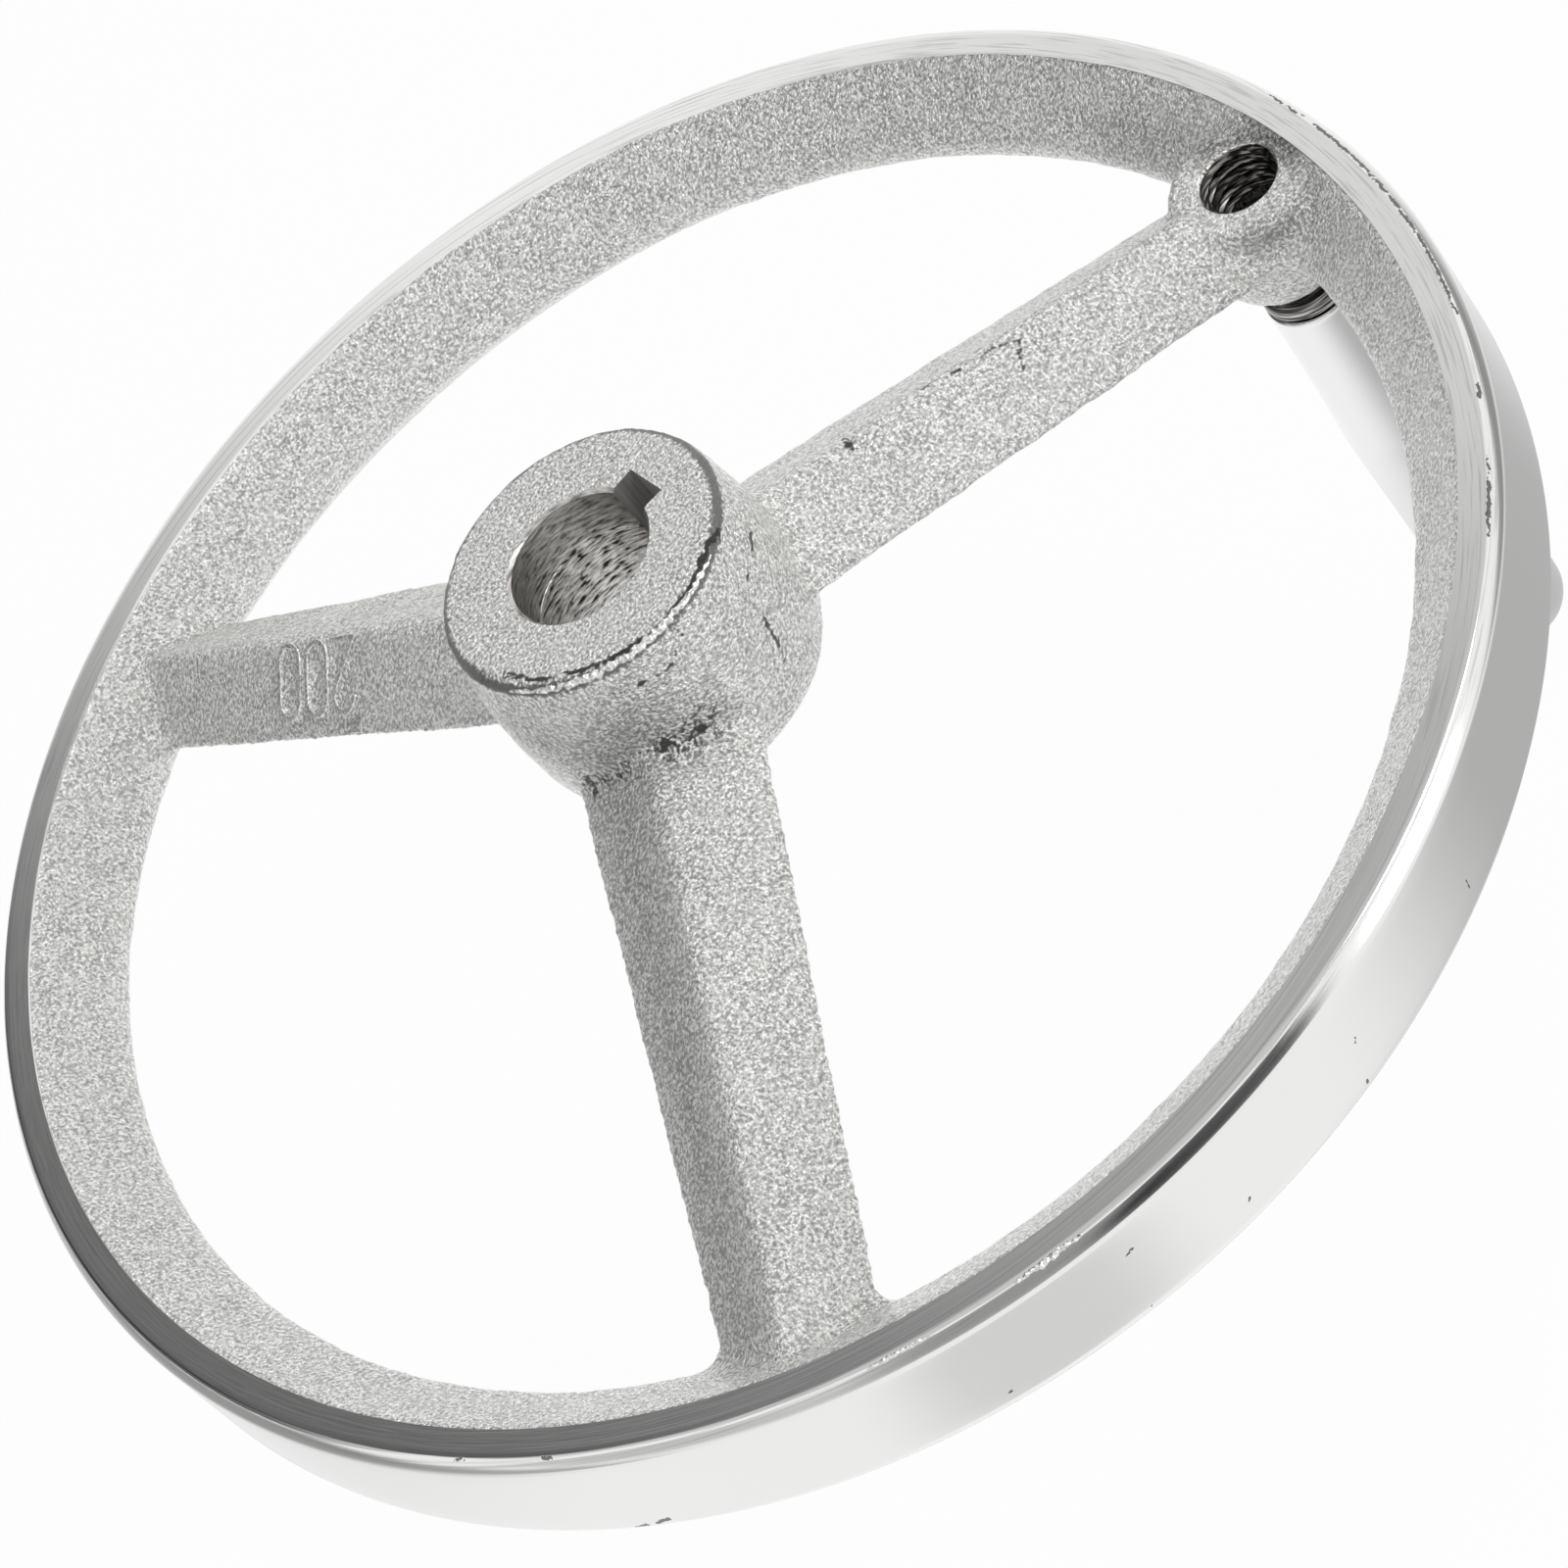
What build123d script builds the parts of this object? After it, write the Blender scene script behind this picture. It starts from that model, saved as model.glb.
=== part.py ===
from build123d import *
from math import atan2, hypot, radians, sin
import os

# Machine handwheel: a one-piece cast wheel with three roof-backed spokes and a keyed hub, and a
# revolving handle on a spindle that screws into a boss beside the rim. Millimetres. The origin is
# the centre of the hub's back end face, +Z runs out of the hub along the shaft, and the spoke
# that carries the handle lies along +X.

# Rim: turned and polished outside, left as cast inside
RIM_DIAMETER = 200.0
RIM_WIDTH = 17.8
RIM_MID_Z = -37.9
RIM_CHAMFER_RADIAL = 1.1
RIM_CHAMFER_AXIAL = 2.0
RIM_LAND_DEPTH = 4.7
RIM_DEPTH = 14.7
RIM_NOSE_ROUND = 2.9

# Hub: a barrelled drum, bored and keyed for the shaft
HUB_LENGTH = 26.9
HUB_FACE_RADIUS = 18.1
HUB_BELLY_RADIUS = 19.75
HUB_FRONT_RADIUS = 18.7
HUB_FACE_ROUND = 1.0
HUB_FRONT_ROUND = 5.0
BORE_DIAMETER = 18.0
BORE_CHAMFER = 0.4
KEYWAY_WIDTH = 6.0
KEYWAY_DEPTH = 2.8
KEYWAY_ANGLE = 6.0

# Spokes: a ridge along the back, sides at the mould's parting line and a flatter front
SPOKE_COUNT = 3
SPOKE_HUB_HALF_WIDTH = 12.7
SPOKE_RIM_HALF_WIDTH = 10.25
SPOKE_BACK_RISE = 7.2
SPOKE_FRONT_RISE = 3.8
RIDGE_BELOW_HUB_FACE = 12.35
RIDGE_BELOW_RIM_BACK = 0.65
RIDGE_ROUND = 0.7
SPOKE_SIDE_ROUND = 0.5
SPOKE_OVERLAP = 7.0
HUB_FILLET = 1.5
RIM_FILLET = 3.0

# Raised size mark "200" on the back of one spoke, with its feet towards the ridge
MARK_SPOKE = 1
MARK_RADIUS = 49.5
MARK_FROM_RIDGE = 5.35
DIGIT_HEIGHT = 9.9
DIGIT_WIDTH = 4.9
DIGIT_PITCH = 5.6
DIGIT_STROKE = 0.8
TWO_BOW_ANGLE = 215.0
DIGIT_RAISE = 0.4
DIGIT_ROOT = 0.6

# Handle boss, where the first spoke meets the rim
HANDLE_FROM_RIM = 11.7
BOSS_RADIUS = 9.5
BOSS_LENGTH = 16.0
BOSS_BELOW_RIM_BACK = 1.1
BOSS_BACK_ROUND = 1.0
BOSS_FRONT_ROUND = 4.5
SEAT_RADIUS = 7.5
SEAT_FROM_RIM = 6.5

# Handle spindle: a threaded stud in the boss, a collar, and a journal inside the grip
THREAD_DIAMETER = 10.0
STUD_END_DEPTH = 7.7
NECK_LENGTH = 2.6
COLLAR_STEP = 0.9
COLLAR_WIDTH = 2.4
COLLAR_CHAMFER = 0.4
JOURNAL_DIAMETER = 8.0
JOURNAL_LENGTH = 58.0
JOURNAL_CHAMFER = 0.8

# Grip: a slender barrel with a ball end, bored from its mouth
GRIP_LENGTH = 73.8
GRIP_GAP = 0.3
GRIP_MOUTH_RADIUS = 6.05
GRIP_BELLY_RADIUS = 6.75
GRIP_BELLY_FROM_MOUTH = 26.0
GRIP_TAPER_LENGTH = 23.0
GRIP_TIP_RADIUS = 6.5
GRIP_MOUTH_ROUND = 0.4
GRIP_BORE_CLEARANCE = 0.05
GRIP_BORE_PAST_JOURNAL = 2.0

# Wire ring in the journal's groove, which keeps the grip on the spindle
RING_WIRE = 1.2
RING_RADIUS = 3.85
RING_FROM_COLLAR = 30.0
RING_OPENING = 50.0
GROOVE_CLEARANCE = 0.05
GRIP_GROOVE_RADIUS = 4.8
GRIP_GROOVE_WIDTH = 2.0

# Places that follow from the sizes above
rim_radius = RIM_DIAMETER / 2
rim_back = RIM_MID_Z + RIM_WIDTH / 2
rim_front = RIM_MID_Z - RIM_WIDTH / 2
rim_apex = rim_radius - RIM_DEPTH
land_radius = rim_radius - RIM_LAND_DEPTH
handle_radius = rim_radius - HANDLE_FROM_RIM
boss_back = rim_back - BOSS_BELOW_RIM_BACK
boss_front = boss_back - BOSS_LENGTH
collar_back = boss_front - NECK_LENGTH
collar_radius = THREAD_DIAMETER / 2 + COLLAR_STEP
collar_front = collar_back - COLLAR_WIDTH
journal_end = collar_front - JOURNAL_LENGTH
grip_mouth = collar_front - GRIP_GAP
grip_end = grip_mouth - GRIP_LENGTH
ring_z = collar_front - RING_FROM_COLLAR
hub_ridge = -RIDGE_BELOW_HUB_FACE
rim_ridge = rim_back - RIDGE_BELOW_RIM_BACK
spoke_width = 2 * SPOKE_HUB_HALF_WIDTH

# The wheel's turned profiles start midway between two spokes, where no spoke crosses their seam
WHEEL_PROFILE = Plane.XZ.rotated((0, 0, 180 / SPOKE_COUNT))
HANDLE_PROFILE = Plane(origin=(handle_radius, 0, 0), x_dir=(-1, 0, 0), z_dir=(0, 1, 0))
HANDLE_AXIS = Axis(origin=(handle_radius, 0, 0), direction=(0, 0, 1))


def spoke_outline(radius):
    """Corners of a spoke's section at a radius: the ridge, the two sides and the front."""
    along = (radius - HUB_FACE_RADIUS) / (rim_apex - HUB_FACE_RADIUS)
    ridge_z = hub_ridge + along * (rim_ridge - hub_ridge)
    half_width = SPOKE_HUB_HALF_WIDTH + along * (SPOKE_RIM_HALF_WIDTH - SPOKE_HUB_HALF_WIDTH)
    side_z = ridge_z - SPOKE_BACK_RISE
    return [(0, ridge_z), (half_width, side_z), (0, side_z - SPOKE_FRONT_RISE), (-half_width, side_z)]


def long_edges(part):
    """Edges of a spoke that run along it."""
    return part.edges().filter_by(lambda edge: edge.length > spoke_width)


def root_edges(part, inner_radius, outer_radius):
    """Edges of a part that lie wholly between two radii and over a spoke."""
    pitch = radians(360 / SPOKE_COUNT)
    found = []
    for edge in part.edges():
        radii = [hypot(point.X, point.Y) for point in (edge @ 0, edge @ 0.5, edge @ 1)]
        middle = edge @ 0.5
        turn = (atan2(middle.Y, middle.X) + pitch / 2) % pitch - pitch / 2
        over_spoke = abs(radii[1] * sin(turn)) < spoke_width / 2 and edge.length < spoke_width
        if over_spoke and min(radii) > inner_radius and max(radii) < outer_radius:
            found.append(edge)
    return found


# Rim
with BuildPart() as rim:
    with BuildSketch(WHEEL_PROFILE) as rim_profile:
        with BuildLine():
            Polyline(
                (rim_radius, rim_front + RIM_CHAMFER_AXIAL),
                (rim_radius, rim_back - RIM_CHAMFER_AXIAL),
                (rim_radius - RIM_CHAMFER_RADIAL, rim_back),
                (land_radius, rim_back),
                (rim_apex, RIM_MID_Z),
                (land_radius, rim_front),
                (rim_radius - RIM_CHAMFER_RADIAL, rim_front),
                close=True,
            )
        make_face()
        fillet(rim_profile.vertices().sort_by(Axis.X)[0], RIM_NOSE_ROUND)
    revolve(axis=Axis.Z)

# Hub drum
with BuildPart() as hub:
    with BuildSketch(WHEEL_PROFILE) as hub_profile:
        with BuildLine():
            Polyline((HUB_FACE_RADIUS, 0), (0, 0), (0, -HUB_LENGTH), (HUB_FRONT_RADIUS, -HUB_LENGTH))
            ThreePointArc(
                (HUB_FRONT_RADIUS, -HUB_LENGTH),
                (HUB_BELLY_RADIUS, -HUB_LENGTH / 2),
                (HUB_FACE_RADIUS, 0),
            )
        make_face()
        fillet(hub_profile.vertices().group_by(Axis.Y)[-1].sort_by(Axis.X)[-1], HUB_FACE_ROUND)
        fillet(hub_profile.vertices().group_by(Axis.Y)[0].sort_by(Axis.X)[-1], HUB_FRONT_ROUND)
    revolve(axis=Axis.Z)

# One spoke along +X, from inside the hub to inside the rim
with BuildPart() as spoke:
    for radius in (HUB_FACE_RADIUS - SPOKE_OVERLAP, land_radius):
        with BuildSketch(Plane(origin=(radius, 0, 0), x_dir=(0, 1, 0), z_dir=(1, 0, 0))):
            with BuildLine():
                Polyline(*spoke_outline(radius), close=True)
            make_face()
    loft(ruled=True)
    fillet(long_edges(spoke.part).sort_by(Axis.Z)[-1], RIDGE_ROUND)
    fillet(long_edges(spoke.part).sort_by(Axis.Y)[0], SPOKE_SIDE_ROUND)
    fillet(long_edges(spoke.part).sort_by(Axis.Y)[-1], SPOKE_SIDE_ROUND)

# Boss for the handle spindle
with BuildPart() as boss:
    with BuildSketch(Plane.XY.offset(boss_front)):
        with Locations((handle_radius, 0)):
            Circle(BOSS_RADIUS)
    extrude(amount=BOSS_LENGTH)
    fillet(boss.edges().group_by(Axis.Z)[-1], BOSS_BACK_ROUND)
    fillet(boss.edges().group_by(Axis.Z)[0], BOSS_FRONT_ROUND)

# Size mark: the sketch's X runs outwards along the first spoke and its Y from ridge to side
mark_corners = spoke_outline(MARK_RADIUS)
mark_x = Vector(rim_apex - HUB_FACE_RADIUS, 0, rim_ridge - hub_ridge)
mark_y = Vector(0, *mark_corners[1]) - Vector(0, *mark_corners[0])
mark_plane = Plane(
    origin=(MARK_RADIUS, 0, mark_corners[0][1]), x_dir=mark_x, z_dir=mark_x.cross(mark_y)
)
with BuildPart() as size_mark:
    with BuildSketch(mark_plane.offset(DIGIT_RAISE)):
        with BuildLine():
            bow_radius = (DIGIT_WIDTH - DIGIT_STROKE) / 2
            head = MARK_FROM_RIDGE + (DIGIT_HEIGHT - DIGIT_STROKE) / 2
            foot = MARK_FROM_RIDGE - (DIGIT_HEIGHT - DIGIT_STROKE) / 2
            bow = CenterArc((0, head - bow_radius), bow_radius, 180, -TWO_BOW_ANGLE)
            Polyline(bow @ 1, (-bow_radius, foot), (bow_radius, foot))
        trace(line_width=DIGIT_STROKE)
        with Locations((DIGIT_PITCH, MARK_FROM_RIDGE), (2 * DIGIT_PITCH, MARK_FROM_RIDGE)):
            SlotOverall(DIGIT_HEIGHT, DIGIT_WIDTH, rotation=90)
            SlotOverall(
                DIGIT_HEIGHT - 2 * DIGIT_STROKE,
                DIGIT_WIDTH - 2 * DIGIT_STROKE,
                rotation=90,
                mode=Mode.SUBTRACT,
            )
    extrude(amount=-DIGIT_RAISE - DIGIT_ROOT)

# The casting: hub, spokes, rim and boss in one piece, with its machined holes
with BuildPart() as handwheel_casting:
    add(hub.part)
    with PolarLocations(0, SPOKE_COUNT):
        add(spoke.part)
    fillet(root_edges(handwheel_casting.part, 0, HUB_BELLY_RADIUS + HUB_FILLET), HUB_FILLET)
    add(rim.part)
    fillet(root_edges(handwheel_casting.part, rim_apex - RIM_FILLET, land_radius), RIM_FILLET)
    add(boss.part)
    add(size_mark.part.rotate(Axis.Z, MARK_SPOKE * 360 / SPOKE_COUNT))

    # The first spoke's ridge stops short of the spindle hole, level with the boss
    with BuildSketch(Plane.XY.offset(boss_back)):
        with Locations((handle_radius, 0)):
            Circle(SEAT_RADIUS)
        Circle(rim_radius - SEAT_FROM_RIM, mode=Mode.INTERSECT)
    extrude(amount=BOSS_LENGTH, mode=Mode.SUBTRACT)
    with Locations((handle_radius, 0, boss_back)):
        Hole(THREAD_DIAMETER / 2, depth=BOSS_LENGTH)

    # Bore, and the keyway beside the first spoke
    Hole(BORE_DIAMETER / 2)
    bore_rims = handwheel_casting.edges().filter_by(GeomType.CIRCLE)
    chamfer(bore_rims.filter_by(lambda edge: edge.radius == BORE_DIAMETER / 2), BORE_CHAMFER)
    with BuildSketch(Plane.XY.rotated((0, 0, KEYWAY_ANGLE))):
        Rectangle(
            BORE_DIAMETER / 2 + KEYWAY_DEPTH, KEYWAY_WIDTH, align=(Align.MIN, Align.CENTER)
        )
    extrude(amount=-HUB_LENGTH, mode=Mode.SUBTRACT)

# Handle spindle, with a groove in its journal for the wire ring
with BuildPart() as handle_spindle:
    with BuildSketch(HANDLE_PROFILE):
        with BuildLine():
            Polyline(
                (0, boss_back - STUD_END_DEPTH),
                (THREAD_DIAMETER / 2, boss_back - STUD_END_DEPTH),
                (THREAD_DIAMETER / 2, collar_back),
                (collar_radius, collar_back),
                (collar_radius, collar_front),
                (JOURNAL_DIAMETER / 2, collar_front),
                (JOURNAL_DIAMETER / 2, journal_end),
                (0, journal_end),
                close=True,
            )
        make_face()
        with Locations((RING_RADIUS - RING_WIRE / 2, ring_z)):
            Rectangle(
                JOURNAL_DIAMETER,
                RING_WIRE + 2 * GROOVE_CLEARANCE,
                align=(Align.MIN, Align.CENTER),
                mode=Mode.SUBTRACT,
            )
    revolve(axis=HANDLE_AXIS)
    circles = handle_spindle.edges().filter_by(GeomType.CIRCLE)
    chamfer(circles.group_by(SortBy.RADIUS)[-1], COLLAR_CHAMFER)
    circles = handle_spindle.edges().filter_by(GeomType.CIRCLE).sort_by(Axis.Z)
    chamfer([circles[0], circles[-1]], JOURNAL_CHAMFER)

# Split wire ring, snapped into the spindle's groove
with BuildPart() as retaining_ring:
    with BuildSketch(HANDLE_PROFILE):
        with Locations((RING_RADIUS, ring_z)):
            Circle(RING_WIRE / 2)
    revolve(axis=HANDLE_AXIS, revolution_arc=360 - RING_OPENING)

# Grip
with BuildPart() as handle_grip:
    bore_radius = JOURNAL_DIAMETER / 2 + GRIP_BORE_CLEARANCE
    belly_z = grip_mouth - GRIP_BELLY_FROM_MOUTH
    ball_z = grip_end + GRIP_TIP_RADIUS
    bore_end = journal_end - GRIP_BORE_PAST_JOURNAL
    with BuildSketch(HANDLE_PROFILE) as grip_profile:
        with BuildLine():
            Polyline((0, grip_end), (0, bore_end), (bore_radius, bore_end), (bore_radius, grip_mouth))
            Line((bore_radius, grip_mouth), (GRIP_MOUTH_RADIUS, grip_mouth))
            TangentArc((GRIP_BELLY_RADIUS, belly_z), (GRIP_MOUTH_RADIUS, grip_mouth), tangent=(0, 1))
            Spline(
                (GRIP_BELLY_RADIUS, belly_z),
                (GRIP_TIP_RADIUS, belly_z - GRIP_TAPER_LENGTH),
                tangents=[(0, -1), (0, -1)],
            )
            Line((GRIP_TIP_RADIUS, belly_z - GRIP_TAPER_LENGTH), (GRIP_TIP_RADIUS, ball_z))
            CenterArc((0, ball_z), GRIP_TIP_RADIUS, 0, -90)
        make_face()
        fillet(grip_profile.vertices().group_by(Axis.Y)[-1].sort_by(Axis.X)[-1], GRIP_MOUTH_ROUND)
        with Locations((0, ring_z)):
            Rectangle(2 * GRIP_GROOVE_RADIUS, GRIP_GROOVE_WIDTH, mode=Mode.SUBTRACT)
    revolve(axis=HANDLE_AXIS)

os.makedirs("parts", exist_ok=True)
handwheel_casting.part.label = "handwheel_casting"
export_step(handwheel_casting.part, "parts/handwheel_casting.step")
handle_spindle.part.label = "handle_spindle"
export_step(handle_spindle.part, "parts/handle_spindle.step")
retaining_ring.part.label = "retaining_ring"
export_step(retaining_ring.part, "parts/retaining_ring.step")
handle_grip.part.label = "handle_grip"
export_step(handle_grip.part, "parts/handle_grip.step")
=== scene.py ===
"""Looks of the machine handwheel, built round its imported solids.

The wheel is one sand casting in grey iron, nickel plated, with its rim turned and polished. The
handle is a chromed steel grip that revolves on a blackened spindle screwed into the wheel's boss.

Sizes are in millimetres, as a maker would give them, and each mesh is brought to metres when it
becomes a piece. The origin is the centre of the hub's back end face, +Z runs out of the hub, and
the handle's axis stands on +X.
"""

from __future__ import annotations

import logging
import math
from dataclasses import dataclass
from enum import Enum

import bmesh
import bpy
from mathutils import Matrix, Vector, noise

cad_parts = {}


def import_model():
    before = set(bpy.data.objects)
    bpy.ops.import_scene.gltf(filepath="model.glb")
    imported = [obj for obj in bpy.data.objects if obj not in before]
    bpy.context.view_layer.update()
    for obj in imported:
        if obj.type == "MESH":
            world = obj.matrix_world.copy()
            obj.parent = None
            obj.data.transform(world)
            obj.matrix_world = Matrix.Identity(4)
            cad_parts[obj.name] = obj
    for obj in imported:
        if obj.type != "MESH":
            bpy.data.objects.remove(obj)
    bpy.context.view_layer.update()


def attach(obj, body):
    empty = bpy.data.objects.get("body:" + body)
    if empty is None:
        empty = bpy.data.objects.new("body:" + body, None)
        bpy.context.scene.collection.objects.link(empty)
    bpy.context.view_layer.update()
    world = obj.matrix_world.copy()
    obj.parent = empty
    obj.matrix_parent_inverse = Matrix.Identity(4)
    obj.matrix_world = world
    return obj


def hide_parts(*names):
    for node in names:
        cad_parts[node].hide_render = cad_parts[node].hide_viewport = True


LOG = logging.getLogger("handwheel")
MM = 0.001
TURN = 2 * math.pi
HANDLE_X = 88.3
RING_Z = -81.1
SAME_PLACE = 0.0005
# Settings that many nodes share: a soft step between two values, and a mix of two colours, whose
# inputs 0, 6 and 7 are the share of the second colour, the first colour and the second
SOFT_STEP = {"interpolation_type": "SMOOTHSTEP"}
COLOURS = {"data_type": "RGBA", "out": 2}

Tree = bpy.types.NodeTree
Socket = bpy.types.NodeSocket
Place = tuple[float, float, float]
Pair = tuple[float, float]


class Body(Enum):
    """The bodies that pieces ride on."""

    WHEEL = "wheel"
    GRIP = "grip"


class Slot(Enum):
    """The record's material slots."""

    CASTING = "plated_casting"
    SPINDLE = "spindle_steel"
    GRIP = "grip_chrome"


# ---------------------------------------------------------------- nodes and meshes


def linear(colour: str) -> tuple[float, float, float, float]:
    """Turn an sRGB hex colour into the linear colour that a socket takes.

    Args:
        colour: Six hex digits after a hash.

    Returns:
        Red, green, blue and an alpha of 1.
    """
    parts = [int(colour[i : i + 2], 16) / 255 for i in (1, 3, 5)]
    red, green, blue = (c / 12.92 if c <= 0.04045 else ((c + 0.055) / 1.055) ** 2.4 for c in parts)
    return red, green, blue, 1.0


def per_size(millimetres: float) -> float:
    """Texture scale, in repeats per metre, of a pattern whose features have this size."""
    return 1 / (millimetres * MM)


def add_node(
    tree: Tree, kind: str, inputs: dict | tuple = (), out: int | str = 0, **settings: object
) -> Socket | None:
    """Add a node with its settings, values and links.

    Args:
        tree: Node tree that gets the node.
        kind: Node type, without "ShaderNode" in front.
        inputs: Sockets that feed the node, or values, by input name or in the inputs' order.
        out: Name or number of the output that is wanted.
        **settings: Properties of the node itself.

    Returns:
        That output, or None from a node that has no outputs.
    """
    added = tree.nodes.new("ShaderNode" + kind)
    for name, value in settings.items():
        setattr(added, name, value)
    for key, value in inputs.items() if isinstance(inputs, dict) else enumerate(inputs):
        if isinstance(value, Socket):
            tree.links.new(value, added.inputs[key])
        else:
            added.inputs[key].default_value = value
    return added.outputs[out] if len(added.outputs) else None


def new_material(name: str) -> tuple[bpy.types.Material, Tree, Socket]:
    """Make a node material that holds only its coordinates.

    Args:
        name: What the real material is.

    Returns:
        The material, its node tree and the object coordinates' socket.
    """
    material = bpy.data.materials.new(name)
    material.use_nodes = True
    tree = material.node_tree
    tree.nodes.clear()
    return material, tree, add_node(tree, "TexCoord", out="Object")


def to_object(bm: bmesh.types.BMesh, name: str) -> bpy.types.Object:
    """Link a bmesh to the scene as an object at the origin, and free it.

    Args:
        bm: The shape.
        name: Name of the object.

    Returns:
        The new object.
    """
    mesh = bpy.data.meshes.new(name)
    bm.to_mesh(mesh)
    bm.free()
    made = bpy.data.objects.new(name, mesh)
    bpy.context.scene.collection.objects.link(made)
    return made


def merged_copy(node: str, apart: float = 0.001) -> bmesh.types.BMesh:
    """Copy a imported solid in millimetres, and merge corners that lie no further apart."""
    bm = bmesh.new()
    bm.from_mesh(bpy.data.objects[node].data)
    bmesh.ops.scale(bm, vec=(1 / MM,) * 3, verts=bm.verts)
    bmesh.ops.remove_doubles(bm, verts=bm.verts, dist=apart)
    return bm


def apply_modifiers(target: bpy.types.Object) -> None:
    """Replace an object's mesh by what its modifiers make of it."""
    bpy.context.view_layer.update()
    evaluated = target.evaluated_get(bpy.context.evaluated_depsgraph_get())
    mesh = bpy.data.meshes.new_from_object(evaluated)
    old = target.data
    target.modifiers.clear()
    target.data = mesh
    bpy.data.meshes.remove(old)


def finish_piece(
    piece: bpy.types.Object, body: Body, crease_angle: float = 35.0
) -> bpy.types.Object:
    """Bring a piece from millimetres to metres, shade it and let it ride on its body.

    Args:
        piece: Object whose mesh is in millimetres.
        body: Body that it moves with.
        crease_angle: Faces that meet more sharply than this, in degrees, keep a crisp edge.

    Returns:
        The same object.
    """
    mesh = piece.data
    mesh.transform(Matrix.Scale(MM, 4))
    mesh.shade_smooth()
    mesh.set_sharp_from_angle(angle=math.radians(crease_angle))
    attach(piece, body.value)
    LOG.info("%s: %d faces", piece.name, len(mesh.polygons))
    return piece


def add_chain(
    bm: bmesh.types.BMesh, points: list[Pair], axis_x: float = 0.0, closed: bool = False
) -> list[bmesh.types.BMVert]:
    """Draw a chain of edges in the plane Y = 0.

    Args:
        bm: Mesh that gets the chain.
        points: Radius and height of each corner, in order.
        axis_x: Where the axis stands along X.
        closed: Whether an edge joins the last corner to the first.

    Returns:
        The corners.
    """
    corners = [bm.verts.new((axis_x + radius, 0, height)) for radius, height in points]
    for pair in zip(corners, corners[1:] + corners[:1] if closed else corners[1:]):
        bm.edges.new(pair)
    return corners


def round_corners(
    bm: bmesh.types.BMesh, corners: list[bmesh.types.BMVert], size: float, segments: int
) -> None:
    """Round some corners of a chain of edges."""
    shape = {"affect": "VERTICES", "segments": segments, "profile": 0.5, "material": -1}
    bmesh.ops.bevel(bm, geom=corners, offset=size, **shape)


def turn_wire(bm: bmesh.types.BMesh, segments: int, axis_x: float = 0.0) -> None:
    """Spin what a bmesh holds a whole turn about an upright axis and close the poles.

    Args:
        bm: A profile of edges.
        segments: Facets in a whole turn.
        axis_x: Where the axis stands along X.
    """
    bmesh.ops.spin(
        bm,
        geom=bm.verts[:] + bm.edges[:],
        cent=(axis_x, 0, 0),
        axis=(0, 0, 1),
        angle=TURN,
        steps=segments,
        use_merge=True,
    )
    bmesh.ops.remove_doubles(bm, verts=bm.verts, dist=SAME_PLACE)
    bmesh.ops.recalc_face_normals(bm, faces=bm.faces)


def spin_profile(points: list[Pair], segments: int, axis_x: float = 0.0) -> bmesh.types.BMesh:
    """Turn a profile whose two ends lie on the axis."""
    bm = bmesh.new()
    add_chain(bm, points, axis_x)
    turn_wire(bm, segments, axis_x)
    return bm


def helical_ridge(
    bm: bmesh.types.BMesh, section: list[Pair], pitch: float, turns: float, top: float
) -> None:
    """Sweep a thread's ridge down a helix about the handle's axis, closed at both ends.

    Args:
        bm: Mesh that gets the ridge.
        section: Radius and height of the ridge's corners, round its own middle.
        pitch: Advance of one turn.
        turns: Length of the thread in turns.
        top: Height of the section's middle at its start.
    """
    steps_per_turn = 64
    start = [bm.verts.new((HANDLE_X + radius, 0, top + height)) for radius, height in section]
    face = bm.faces.new(start)
    steps = round(turns * steps_per_turn)
    bmesh.ops.spin(
        bm,
        geom=start + list(face.edges) + [face],
        cent=(HANDLE_X, 0, 0),
        axis=(0, 0, 1),
        dvec=(0, 0, -pitch * turns / steps),
        angle=TURN * turns,
        steps=steps,
    )
    bmesh.ops.recalc_face_normals(bm, faces=bm.faces)


# ---------------------------------------------------------------- patterns of the finishes


@dataclass(frozen=True)
class Scar:
    """A dark mark that follows a few points: a fault of the surface, or painted shadow where it
    marks shade.

    The depth says how solid it is: above 1 it is an unbroken line, and towards 0.5 it breaks up
    into separate pores.
    """

    name: str
    points: tuple[Place, ...]
    reach: float
    depth: float


def wandered(tree: Tree, where: Socket, bend: float, sway: float) -> Socket:
    """Shift coordinates about, so that what is drawn straight on them comes out crooked.

    Args:
        tree: Node tree that gets the nodes.
        where: Object coordinates.
        bend: Length of the bends, in millimetres.
        sway: How far they go, in millimetres.

    Returns:
        The shifted coordinates' socket.
    """
    bends = add_node(
        tree, "TexNoise", {"Vector": where, "Scale": per_size(bend), "Detail": 4.0}, out="Color"
    )
    # The noise stays within about a fifth of its middle, so its swing is scaled up fivefold
    swing = 5 * sway * MM
    shift = add_node(
        tree, "VectorMath", (bends, (swing,) * 3, (-swing / 2,) * 3), operation="MULTIPLY_ADD"
    )
    return add_node(tree, "VectorMath", (where, shift), operation="ADD")


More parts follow.
